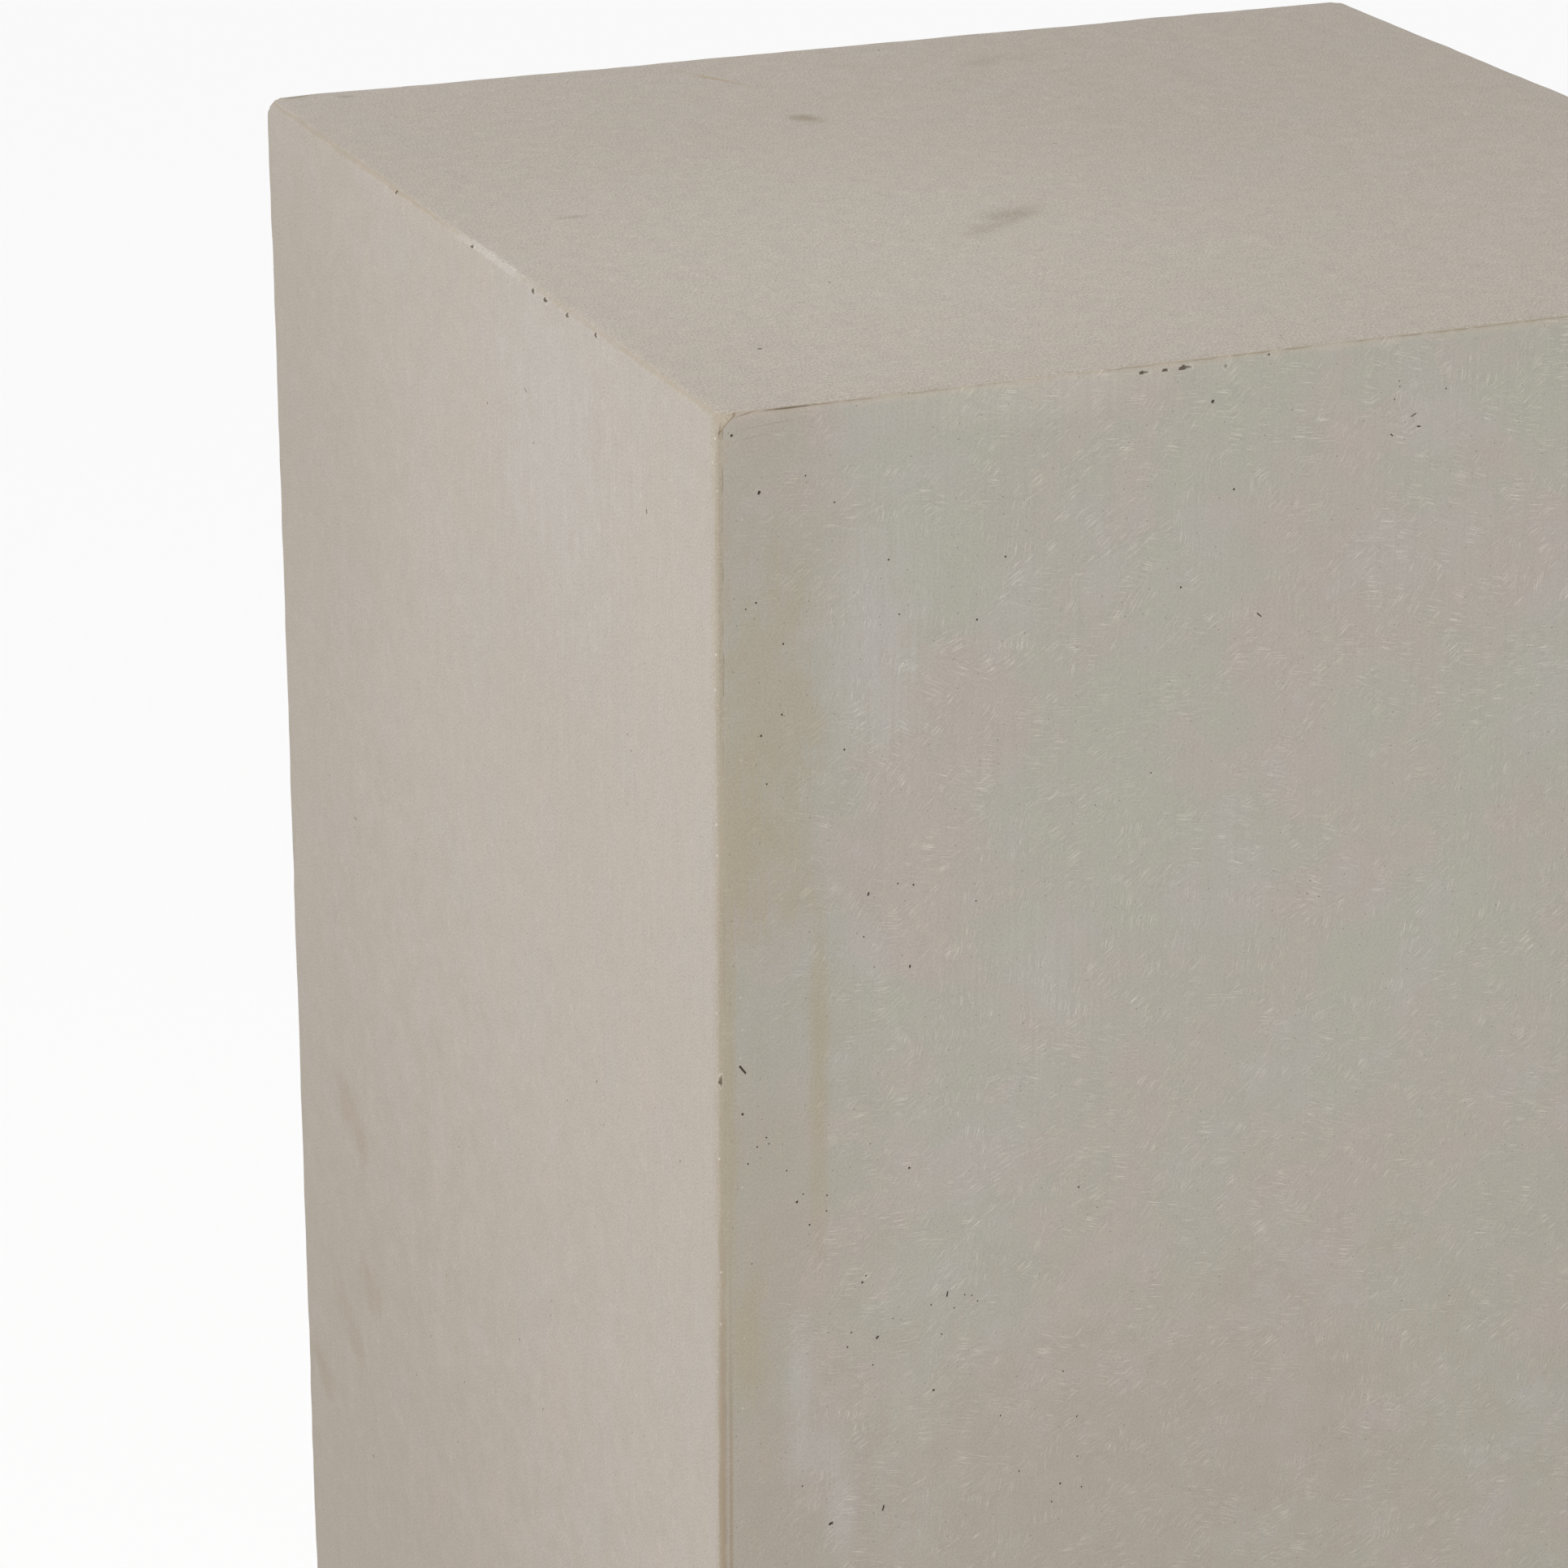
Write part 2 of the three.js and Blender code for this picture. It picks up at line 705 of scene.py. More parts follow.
    def _corners(self, skin: Skin, colour: Signal) -> Signal:
        """Blunted corners: soft on most faces, and cut off by a dark line on the others.

        Args:
            skin: The skin of the face.
            colour: The colour so far.

        Returns:
            The colour with the corners.
        """
        graph, look, grain = skin.graph, skin.look, skin.grain
        blunt = graph.attribute("blunt")
        cover = blunt.fade(-0.02, 0.06) if look.cut_corner else blunt.fade(0.0, 0.9)
        colour = graph.blend(colour, self.olive, cover * 0.85)
        colour = graph.blend(colour, self.cream, cover * grain.fade(0.5, 0.3, 0.5))
        colour = graph.blend(colour, self.tan, cover * grain.fade(0.52, 0.7, 0.5))
        if look.cut_corner:
            colour = graph.blend(colour, self.tan, abs(blunt).fade(0.12, 0.02, 0.85))
        return colour

    def _holes(self, skin: Skin, colour: Signal) -> Signal:
        """Chips and pin-holes, and specks both dark and pale.

        Args:
            skin: The skin of the face.
            colour: The colour so far.

        Returns:
            The colour with them.
        """
        graph = skin.graph
        cells = {"Vector": skin.flat, "Scale": 1 / self.fleck_gap}
        flecks = graph.node("ShaderNodeTexVoronoi", {"voronoi_dimensions": "2D"}, cells)
        lot = flecks.beside("Color").part("X")
        pale = flecks.fade(0.06, 0.03) * lot.fade(0.3, 0.2, 0.7) * skin.from_upright.fade(9.0, 3.0)
        colour = graph.blend(colour, self.lime, pale)
        colour = graph.blend(colour, self.pore, flecks.fade(0.034, 0.016) * lot.fade(0.5, 0.75, 0.55))
        chip = graph.attribute("chip")
        colour = graph.blend(colour, self.lime, abs(chip - 0.13).fade(0.12, 0.0, 0.45))
        colour = graph.blend(colour, self.chipped, chip.fade(0.1, 0.6, 0.9))
        return graph.blend(colour, self.pore, graph.attribute("pore") * 0.9)


@dataclass(frozen=True)
class RawFinish:
    """The rough inside and foot of the casting, as it left the mould."""

    grey: Colour = srgb(160, 152, 141)
    dark: Colour = srgb(132, 124, 112)
    lime: Colour = srgb(190, 184, 174)

    def material(self) -> bpy.types.Material:
        """Builds the finish.

        Returns:
            The material for the inside of the column.
        """
        graph = ShaderGraph("raw_casting")
        point = graph.position()
        cloudy = graph.noise(point, 45.0, 4.0, 0.6, 3)
        lumps = graph.noise(point, 6.0, 3.0, 0.65, 3)
        bloom = graph.noise(point + (60.0, 220.0, 10.0), 80.0, 4.0, 0.65, 3).fade(0.52, 0.72)
        strands = graph.noise(point * (1 / 1.2, 1 / 1.2, 1 / 18.0), 1.0, 2.0, 0.5, 3).fade(0.62, 0.72)
        cells = {"Vector": point, "Scale": 1 / 5.0}
        voids = graph.node("ShaderNodeTexVoronoi", None, cells, "Distance").fade(0.16, 0.08)
        colour = graph.blend(self.grey, self.dark, cloudy.fade(0.45, 0.7) * 0.7)
        colour = graph.blend(colour, self.lime, bloom * 0.5)
        colour = graph.blend(colour, self.lime, strands * 0.3)
        colour = graph.blend(colour, self.dark, voids * 0.8)
        height = lumps + cloudy * 0.6 - voids * 0.8
        return graph.surface(
            {
                "Base Color": colour,
                "Roughness": 0.95 - lumps * 0.1,
                "Specular IOR Level": 0.2,
                "Normal": graph.bump(height, 0.6, 0.0008),
            }
        )


@dataclass(frozen=True)
class FloorFinish:
    """A plain pale studio floor."""

    white: Colour = (0.98, 0.98, 0.98, 1.0)

    def material(self) -> bpy.types.Material:
        """Builds the finish.

        Returns:
            The material for the floor.
        """
        graph = ShaderGraph("pale_floor")
        dust = graph.noise(graph.position(), 900.0, 1.0)
        return graph.surface(
            {"Base Color": self.white, "Roughness": 0.75 + dust * 0.1, "Specular IOR Level": 0.1}
        )


# The mesh of the column

ROW_RISE = 0.866  # the rise between staggered rows, for points a step of 1 apart
PORE_DEPTH = 1.25  # the depth of a pin-hole, for a radius of 1
PORE_FLOOR = 0.66  # the radius of its floor
FLOOR_DEPTH = 0.8  # how deep the floor's rim lies, for a depth of 1
UNEVEN_PORE = (0.86, 1.12)  # how far its outline may stray, for a radius of 1


@dataclass
class Patch:
    """Triangles of one stretch of the skin, before it is welded to its neighbours."""

    points: np.ndarray
    triangles: np.ndarray
    face: Face
    inside: bool = False
    pore: Optional[np.ndarray] = None


def triangulate(points: np.ndarray, edges: Sequence[Tuple[int, int]]) -> np.ndarray:
    """Joins flat points into triangles that keep the given edges.

    Args:
        points: The points, one row of two numbers each.
        edges: Pairs of points that stay joined.

    Returns:
        One row of three point numbers for each triangle, turning to the left.
    """
    flat = [Vector(point) for point in points]
    _, _, faces, origins, _, _ = delaunay_2d_cdt(flat, list(edges), [], 0, 1e-4)
    source = np.array([origin[0] for origin in origins])
    return source[np.array(faces)]


def rail(start: float, stop: float, step: float, fine: float, spots: Sequence[Place]) -> np.ndarray:
    """Marks along an edge, closer together where it is broken or worn.

    Args:
        start: The first mark.
        stop: The last mark.
        step: The usual distance between marks.
        fine: The distance between marks in a spot.
        spots: Pairs of a spot's middle and half its length.

    Returns:
        The marks in rising order.
    """
    marks = [np.linspace(start, stop, round((stop - start) / step) + 1)]
    for middle, half in spots:
        marks.append(np.arange(middle - half, middle + half, fine))
    every = np.sort(np.concatenate(marks))
    kept = [start]
    for mark in every:
        if mark - kept[-1] >= 0.6 * fine and stop - mark >= 0.6 * fine:
            kept.append(mark)
    return np.array(kept + [stop])


def honeycomb(low: Place, high: Place, step: float) -> np.ndarray:
    """Points in staggered rows.

    Args:
        low: The lower left corner of the field.
        high: The upper right corner.
        step: The distance between points.

    Returns:
        One row of two numbers for each point.
    """
    rows = np.arange(low[1], high[1] + 1e-6, step * ROW_RISE)
    lines = []
    for number, height in enumerate(rows):
        places = np.arange(low[0] + (number % 2) * step / 2, high[0] + 1e-6, step)
        lines.append(np.column_stack([places, np.full(len(places), height)]))
    return np.concatenate(lines) if lines else np.zeros((0, 2))


@dataclass
class FlatPanel:
    """A flat rectangle of skin with its pin-holes, in millimetres of its own right and up."""

    loop: np.ndarray
    low: Place
    high: Place
    grid: float
    rows: Tuple[float, ...] = ()
    spots: List[Tuple[float, float, float, float]] = field(default_factory=list)
    pores: List[Tuple[float, float, Pore]] = field(default_factory=list)
    seed: int = 0
    jitter: float = 0.16
    pore_clearance: float = 0.35

    def build(self) -> Tuple[np.ndarray, np.ndarray, np.ndarray, np.ndarray]:
        """Lays out the points and joins them.

        Returns:
            The points, their depth below the face, how far down a pin-hole they are from 0 to 1,
            and the triangles.
        """
        rng = random.Random(self.seed)
        inner = self._inner_points(rng)
        for right, up, pore in self.pores:
            clear = pore.radius + pore.reach + self.pore_clearance
            inner = inner[np.hypot(inner[:, 0] - right, inner[:, 1] - up) > clear]
        count = len(self.loop)
        points = [self.loop, inner]
        depths = [np.zeros(count + len(inner))]
        pores = [np.zeros(count + len(inner))]
        edges = [(i, (i + 1) % count) for i in range(count)]
        total = count + len(inner)
        for right, up, pore in self.pores:
            ring, ring_depth, ring_pore, ring_edges = self._pore_rings(pore, rng)
            points.append(ring + (right, up))
            depths.append(ring_depth)
            pores.append(ring_pore)
            edges += [(a + total, b + total) for a, b in ring_edges]
            total += len(ring)
        laid = np.concatenate(points)
        return laid, np.concatenate(depths), np.concatenate(pores), triangulate(laid, edges)

    def _inner_points(self, rng: random.Random) -> np.ndarray:
        """The points inside the outline: rows along it, a jittered grid and the fine spots.

        Args:
            rng: The source of the jitter.

        Returns:
            One row of two numbers for each point.
        """
        margin = (self.rows[-1] if self.rows else 0.0) + 0.55 * self.grid
        low = (self.low[0] + margin, self.low[1] + margin)
        high = (self.high[0] - margin, self.high[1] - margin)
        grid = honeycomb(low, high, self.grid)
        jitter = [(rng.uniform(-1, 1), rng.uniform(-1, 1)) for _ in range(len(grid))]
        gathered = [grid + np.array(jitter) * self.grid * self.jitter]
        previous = self.loop
        for offset in self.rows:
            previous = self._row(previous, offset)
            gathered.append(previous)
        points = np.concatenate(gathered)
        for right, up, radius, step in self.spots:
            apart = np.hypot(points[:, 0] - right, points[:, 1] - up)
            points = points[apart > radius]
            fine = honeycomb((right - radius, up - radius), (right + radius, up + radius), step)
            fine = fine[np.hypot(fine[:, 0] - right, fine[:, 1] - up) < radius]
            edge = 0.5 * step
            inside = (fine[:, 0] > self.low[0] + edge) & (fine[:, 0] < self.high[0] - edge)
            inside &= (fine[:, 1] > self.low[1] + edge) & (fine[:, 1] < self.high[1] - edge)
            points = np.concatenate([points, fine[inside]])
        return points

    def _row(self, outline: np.ndarray, offset: float) -> np.ndarray:
        """A row of points a little inside the outline.

        Args:
            outline: The row outside it.
            offset: How far inside the panel's edge it runs.

        Returns:
            Its points, thinned out so that none are closer than the offset.
        """
        low = np.array(self.low) + offset
        high = np.array(self.high) - offset
        moved = np.clip(outline, low, high)
        kept = [moved[0]]
        for point in moved[1:]:
            if np.hypot(*(point - kept[-1])) >= 0.9 * offset:
                kept.append(point)
        return np.array(kept)

    @staticmethod
    def _pore_rings(
        pore: Pore, rng: random.Random
    ) -> Tuple[np.ndarray, np.ndarray, np.ndarray, List[Tuple[int, int]]]:
        """The rim, floor and middle of a pin-hole about its own centre.

        Args:
            pore: The pin-hole.
            rng: The source of its unevenness.

        Returns:
            Its points, their depths, how far down they are and the edges to keep.
        """
        corners = 7 if pore.radius < 0.35 and not pore.reach else 10
        depth = pore.radius * PORE_DEPTH
        turn = math.radians(pore.tilt)
        rings = []
        for share in (1.0, PORE_FLOOR):
            ring = []
            for corner in range(corners):
                angle = 2 * math.pi * (corner + 0.5) / corners
                wide = pore.radius * share * rng.uniform(*UNEVEN_PORE)
                along = wide * math.cos(angle) + math.copysign(pore.reach, math.cos(angle))
                over = wide * math.sin(angle)
                right = along * math.cos(turn) - over * math.sin(turn)
                up = along * math.sin(turn) + over * math.cos(turn)
                ring.append((right, up))
            rings += ring
        points = np.array(rings + [(0.0, 0.0)])
        depths = np.array([0.0] * corners + [depth * FLOOR_DEPTH] * corners + [depth])
        downs = np.array([0.0] * corners + [1.0] * (corners + 1))
        edges = [(i, (i + 1) % corners) for i in range(corners)]
        edges += [(corners + a, corners + b) for a, b in edges]
        return points, depths, downs, edges


@dataclass(frozen=True)
class Wave:
    """Smooth unevenness, by the width of its lumps and by how far it moves the skin."""

    size: float
    depth: float

    def height(self, point: np.ndarray) -> float:
        """How far it lifts a point."""
        return self.depth * noise.noise(Vector(point) / self.size)

    def ways(self, points: np.ndarray) -> np.ndarray:
        """Which way it moves each point, before the depth counts."""
        return np.array([noise.noise_vector(Vector(point) / self.size) for point in points])


class FinishSlot(IntEnum):
    """The order of the finishes on the mesh."""

    FRONT = 0
    END = 1
    TOP = 2
    RAW = 3


@dataclass
class ColumnShell:
    """The cast column: outer skin, foot rim and rough inside, in millimetres."""

    side: float
    height: float
    wall: float = 12.0
    arris: float = 1.5
    arris_facets: int = 5
    inside_fillet: float = 4.0
    inside_grid: float = 13.0
    inside_rise: float = 15.0
    wear_depth: float = 8.0
    wear_reach: float = 7.5
    grid: float = 9.5
    edge_rows: Tuple[float, ...] = (0.9, 2.4, 5.2)
    rail_step: float = 2.0
    fine_step: float = 0.25
    corner_spot: float = 12.0
    corner_step: float = 1.2
    sharp_angle: float = 38.0
    rub_depth: float = 0.26
    rub_reach: float = 1.5
    rub_limit: float = 6.0
    broad_rub: Wave = Wave(26.0, 0.3)
    close_rub: Wave = Wave(7.0, 0.22)
    broad_wave: Wave = Wave(95.0, 0.22)
    close_wave: Wave = Wave(32.0, 0.14)
    rough_wave: float = 0.5
    pores_a_side: int = 150
    pore_groups: Tuple[int, ...] = (1, 1, 1, 2, 3, 5)
    pore_scatter: float = 5.0
    pore_gap: float = 0.6
    chips_an_edge: int = 9
    chip_sizes: Place = (0.3, 0.5)
    chip_margin: float = 1.5
    chip_stretch: float = 0.4
    chip_depth: float = 0.8
    chip_bite: float = 0.3
    chip_lean: float = 0.7
    chip_uneven: float = 0.4
    seen_reach: float = 110.0
    seed: int = 41
    seen_pores: Tuple[Pore, ...] = ()
    seen_chips: Tuple[Chip, ...] = ()
    chips: List[Chip] = field(default_factory=list)

    @property
    def half(self) -> float:
        """Half the width of the column."""
        return self.side / 2

    @property
    def reach(self) -> float:
        """How far the flat of a face runs from its middle to the arris."""
        return self.half - self.arris

    def build(self) -> bpy.types.Object:
        """Builds the whole shell as one closed mesh.

        Returns:
            The object, without its finishes.
        """
        noise.seed_set(self.seed)
        self.chips = list(self.seen_chips) + self._drawn_chips()
        patches = [self._side_panel(face) for face in SIDES]
        patches.append(self._top_panel())
        for number, face in enumerate(SIDES):
            after = SIDES[(number + 1) % 4]
            patches += self._upright_strip(face, after)
            for end in (Face.TOP, Face.FOOT):
                patches += self._level_strip(face, end)
                patches.append(self._corner(face, after, end))
        patches.append(self._foot_rim())
        patches += self._inside()
        mesh = self._weld(patches)
        self._weather(mesh)
        mesh.set_sharp_from_angle(angle=math.radians(self.sharp_angle))
        return bpy.data.objects.new("cast_column", mesh)

    # Rails that neighbouring patches share

    def _spots_on(self, faces: Tuple[Face, Face]) -> List[Place]:
        """The chips of one edge as spots for its rail, in the rail's own direction.

        Args:
            faces: The faces that meet in the edge.

        Returns:
            Pairs of a spot's middle and half its length.
        """
        spots = []
        for chip in self.chips:
            if chip.faces == faces:
                middle = self.height - chip.along if faces[1] is not Face.TOP else chip.along - self.half
                spots.append((middle, chip.radius * self.chip_margin))
        return spots

    def _upright_rail(self, face: Face, after: Face) -> np.ndarray:
        """Heights along the upright edge where a side meets the next one.

        Args:
            face: The side.
            after: The next side to its right.

        Returns:
            The heights in rising order.
        """
        low, high = self.arris, self.height - self.arris
        spots = self._spots_on((face, after)) + [(high, self.corner_spot)]
        return rail(low, high, self.rail_step, self.fine_step, spots)

    def _level_rail(self, face: Face, end: Face) -> np.ndarray:
        """Places along a side's top or foot edge.

        Args:
            face: The side.
            end: The top or the foot.

        Returns:
            The places to the right, with the middle of the side at 0.
        """
        spots: List[Place] = []
        if end is Face.TOP:
            corners = [(-self.reach, self.corner_spot), (self.reach, self.corner_spot)]
            spots = self._spots_on((face, end)) + corners
        return rail(-self.reach, self.reach, self.rail_step, self.fine_step, spots)

    # Patches of the outer skin

    def _side_panel(self, face: Face) -> Patch:
        """The flat of one side.

        Args:
            face: The side.

        Returns:
            Its patch.
        """
        number = SIDES.index(face)
        before, after = SIDES[number - 1], SIDES[(number + 1) % 4]
        foot, top = self._level_rail(face, Face.FOOT), self._level_rail(face, Face.TOP)
        right, left = self._upright_rail(face, after), self._upright_rail(before, face)
        low, high = (-self.reach, self.arris), (self.reach, self.height - self.arris)
        loop = np.concatenate(
            [
                np.column_stack([foot, np.full(len(foot), low[1])])[:-1],
                np.column_stack([np.full(len(right), high[0]), right])[:-1],
                np.column_stack([top, np.full(len(top), high[1])])[:0:-1],
                np.column_stack([np.full(len(left), low[0]), left])[:0:-1],
            ]
        )
        panel = FlatPanel(loop, low, high, self.grid, self.edge_rows, seed=self.seed + number)
        for edge, middle in (((face, after), high[0]), ((before, face), low[0])):
            for place, length in self._spots_on(edge):
                panel.spots.append((middle, place, length, self.fine_step))
        for place, length in self._spots_on((face, Face.TOP)):
            panel.spots.append((place, high[1], length, self.fine_step))
        for corner in (low[0], high[0]):
            panel.spots.append((corner, high[1], self.corner_spot, self.corner_step))
        panel.pores = self._pores_on(face, low, high)
        return self._lift(panel, face, self.half)

    def _top_panel(self) -> Patch:
        """The flat of the top.

        Returns:
            Its patch.
        """
        loops = []
        for face in SIDES:
            outward, across, _ = face.axes()
            marks = self._level_rail(face, Face.TOP)[:-1]
            loops.append((outward * self.reach + np.outer(marks, across))[:, :2])
        low, high = (-self.reach, -self.reach), (self.reach, self.reach)
        loop = np.concatenate(loops)
        panel = FlatPanel(loop, low, high, self.grid, self.edge_rows, seed=self.seed + 9)
        for face in SIDES:
            outward, across, _ = face.axes()
            for place, length in self._spots_on((face, Face.TOP)):
                middle = outward * self.reach + across * place
                panel.spots.append((middle[0], middle[1], length, self.fine_step))
        for x in (low[0], high[0]):
            for y in (low[1], high[1]):
                panel.spots.append((x, y, self.corner_spot, self.corner_step))
        panel.pores = self._pores_on(Face.TOP, low, high)
        return self._lift(panel, Face.TOP, self.height)

    @staticmethod
    def _lift(panel: FlatPanel, face: Face, depth: float) -> Patch:
        """Takes a panel from its own right and up into the column.

        Args:
            panel: The panel.
            face: The face that it lies on.
            depth: How far out that face is.

        Returns:
            The patch.
        """
        outward, across, upward = face.axes()
        flat, sunk, pore, triangles = panel.build()
        points = np.outer(depth - sunk, outward)
        points += np.outer(flat[:, 0], across) + np.outer(flat[:, 1], upward)
        return Patch(points, triangles, face, pore=pore)

    def _strip(self, axis: np.ndarray, first: Face, second: Face) -> List[Patch]:
        """The rounded arris between two faces, half of it kept with each.

        Args:
            axis: Points along the middle line of the rounding.
            first: The face where it starts.
            second: The face where it ends.

        Returns:
            The two halves.
        """
        start, _, _ = first.axes()
        stop, _, _ = second.axes()
        angles = np.linspace(0.0, math.pi / 2, self.arris_facets + 1)
        lines = [axis + self.arris * (start * math.cos(a) + stop * math.sin(a)) for a in angles]
        middle = (self.arris_facets + 1) // 2
        halves = ((first, lines[: middle + 1]), (second, lines[middle:]))
        return [Patch(*self._ribbon(kept), face) for face, kept in halves]

    @staticmethod
    def _ribbon(lines: Sequence[np.ndarray]) -> Tuple[np.ndarray, np.ndarray]:
        """Triangles between lines of equally many points.

        Args:
            lines: The lines, side by side.

        Returns:
            The points and the triangles.
        """
        count = len(lines[0])
        here = np.arange(count - 1)
        triangles = []
        for number in range(len(lines) - 1):
            low, high = here + number * count, here + (number + 1) * count
            triangles.append(np.column_stack([low, low + 1, high + 1]))
            triangles.append(np.column_stack([low, high + 1, high]))
        return np.concatenate(lines), np.concatenate(triangles)

    def _upright_strip(self, face: Face, after: Face) -> List[Patch]:
        """The arris where a side meets the next one.

        Args:
            face: The side.
            after: The next side to its right.

        Returns:
            Its patches.
        """
        middle = (face.axes()[0] + after.axes()[0]) * self.reach
        heights = self._upright_rail(face, after)
        return self._strip(middle + np.outer(heights, (0, 0, 1)), face, after)

    def _level_strip(self, face: Face, end: Face) -> List[Patch]:
        """The arris where a side meets the top or the foot.

        Args:
            face: The side.
            end: The top or the foot.

        Returns:
            Its patches.
        """
        outward, across, _ = face.axes()
        level = self.height - self.arris if end is Face.TOP else self.arris
        middle = outward * self.reach + np.array((0.0, 0.0, level))
        return self._strip(middle + np.outer(self._level_rail(face, end), across), face, end)

    def _corner(self, face: Face, after: Face, end: Face) -> Patch:
        """The rounded corner where three arrises meet.

        Args:
            face: The side to its left.
            after: The side to its right.
            end: The top or the foot.

        Returns:
            Its patch.
        """
        first, second, third = face.axes()[0], after.axes()[0], end.axes()[0]
        level = self.height - self.arris if end is Face.TOP else self.arris
        centre = (first + second) * self.reach + np.array((0.0, 0.0, level))
        points, starts = [], []
        count = self.arris_facets
        for row in range(count + 1):
            rise = math.pi / 2 * row / count
            starts.append(len(points))
            for step in range(count - row + 1):
                turn = math.pi / 2 * step / (count - row) if row < count else 0.0
                flat = first * math.cos(turn) + second * math.sin(turn)
                points.append(centre + self.arris * (flat * math.cos(rise) + third * math.sin(rise)))
        triangles = []
        for row in range(count):
            for step in range(count - row):
                here, over = starts[row] + step, starts[row + 1] + step
                triangles.append((here, here + 1, over))
                if step < count - row - 1:
                    triangles.append((here + 1, over + 1, over))
        return Patch(np.array(points), np.array(triangles), end)

    # The foot and the hollow

    def _inner_marks(self, length: float) -> np.ndarray:
        """Places along an inside edge, alike from both ends and closer together in the corners.

        Args:
            length: How long the edge is.

        Returns:
            The places in rising order, with the middle of the edge at 0.
        """
        flat = length / 2 - self.inside_fillet
        bend = np.linspace(flat, length / 2, 4)[1:]
        middle = np.linspace(-flat, flat, round(2 * flat / self.inside_grid) + 1)
        return np.concatenate([-bend[::-1], middle, bend])

    def _foot_rim(self) -> Patch:
        """The flat rim that the column stands on.

        Returns:
            Its patch.
        """
        inner = self.half - self.wall
        _, across, upward = Face.FOOT.axes()
        outer_loop, inner_loop = [], []
        for face in SIDES:
            outward, right, _ = face.axes()
            outer_loop.append(outward * self.reach + np.outer(self._level_rail(face, Face.FOOT)[:-1], right))
            inner_loop.append(outward * inner + np.outer(self._inner_marks(2 * inner)[:-1], right))
        loops = [np.concatenate(outer_loop), np.concatenate(inner_loop)]
        points = np.concatenate(loops)
        flat = np.column_stack([points @ across, points @ upward])
        edges, first = [], 0
        for loop in loops:
            edges += [(first + i, first + (i + 1) % len(loop)) for i in range(len(loop))]
            first += len(loop)
        triangles = triangulate(flat, edges)
        middles = np.abs(flat[triangles].mean(axis=1)).max(axis=1)
        return Patch(points, triangles[middles > inner], Face.FOOT, True)

    def _inside(self) -> List[Patch]:
        """The four inner walls and the underside of the top.

        Returns:
            Their patches.
        """
        inner, ceiling = self.half - self.wall, self.height - self.wall
        marks = self._inner_marks(2 * inner)
        heights = np.linspace(0.0, ceiling, round(ceiling / self.inside_rise) + 1)
        patches = []
        for face in SIDES:
            outward, across, upward = face.axes()
            lines = [outward * inner + np.outer(marks, across) + upward * level for level in heights]
            patches.append(Patch(*self._ribbon(lines), face, True))
        lines = [np.column_stack([marks, np.full(len(marks), y), np.full(len(marks), ceiling)])
                 for y in marks]
        patches.append(Patch(*self._ribbon(lines), Face.TOP, True))
        return patches

    # Marks drawn by lot

    def _drawn_chips(self) -> List[Chip]:
        """Small chips along the edges, away from the stretches that the photograph shows.

        Returns:
            The chips.
        """
        rng = random.Random(self.seed)
        drawn = []
        for number, face in enumerate(SIDES):
            after = SIDES[(number + 1) % 4]
            for edge, length in (((face, after), self.height), ((face, Face.TOP), self.side)):
                for _ in range(round(self.chips_an_edge * math.sqrt(length / self.height))):
                    along = rng.uniform(self.corner_spot, length - self.corner_spot)
                    radius = rng.uniform(*self.chip_sizes)
                    seen = [chip.along for chip in self.seen_chips if chip.faces == edge]
                    if all(abs(place - along) > self.seen_reach for place in seen):
                        drawn.append(Chip(edge, along, radius))
        return drawn

    def _pores_on(self, face: Face, low: Place, high: Place) -> List[Tuple[float, float, Pore]]:
        """The pin-holes of one face: those seen in the photograph and others drawn by lot.

        Args:
            face: The face.
            low: The lower left corner of its flat.
            high: The upper right corner.

        Returns:
            For each, its place in the face's own right and up, and the pin-hole.
        """
        rng = random.Random(self.seed * 7 + list(Face).index(face))
        length = self.height if face is not Face.TOP else self.side
        count = round(self.pores_a_side * length / self.height)
        lots = [pore for pore in self.seen_pores if pore.face is face]
        while len(lots) < count:
            right, down = rng.uniform(0, self.side), rng.uniform(0, length)
            for _ in range(rng.choice(self.pore_groups)):
                radius = rng.triangular(0.13, 0.3, 0.15)
                reach = rng.choice((0.0,) * 18 + (0.3, 0.6))
                place = (right + rng.gauss(0, self.pore_scatter), down + rng.gauss(0, self.pore_scatter))
                lots.append(Pore(face, *place, radius, reach, rng.uniform(0, 180)))
        placed: List[Tuple[float, float, Pore]] = []
        top = self.height if face is not Face.TOP else self.half
        for pore in lots:
            right, up = pore.right - self.half, top - pore.down
            room = pore.radius + pore.reach + self.pore_gap
            if not (low[0] + room < right < high[0] - room and low[1] + room < up < high[1] - room):
                continue
            if all(math.hypot(right - r, up - u) > room + p.radius + p.reach for r, u, p in placed):
                placed.append((right, up, pore))
        return placed

    # Joining and weathering

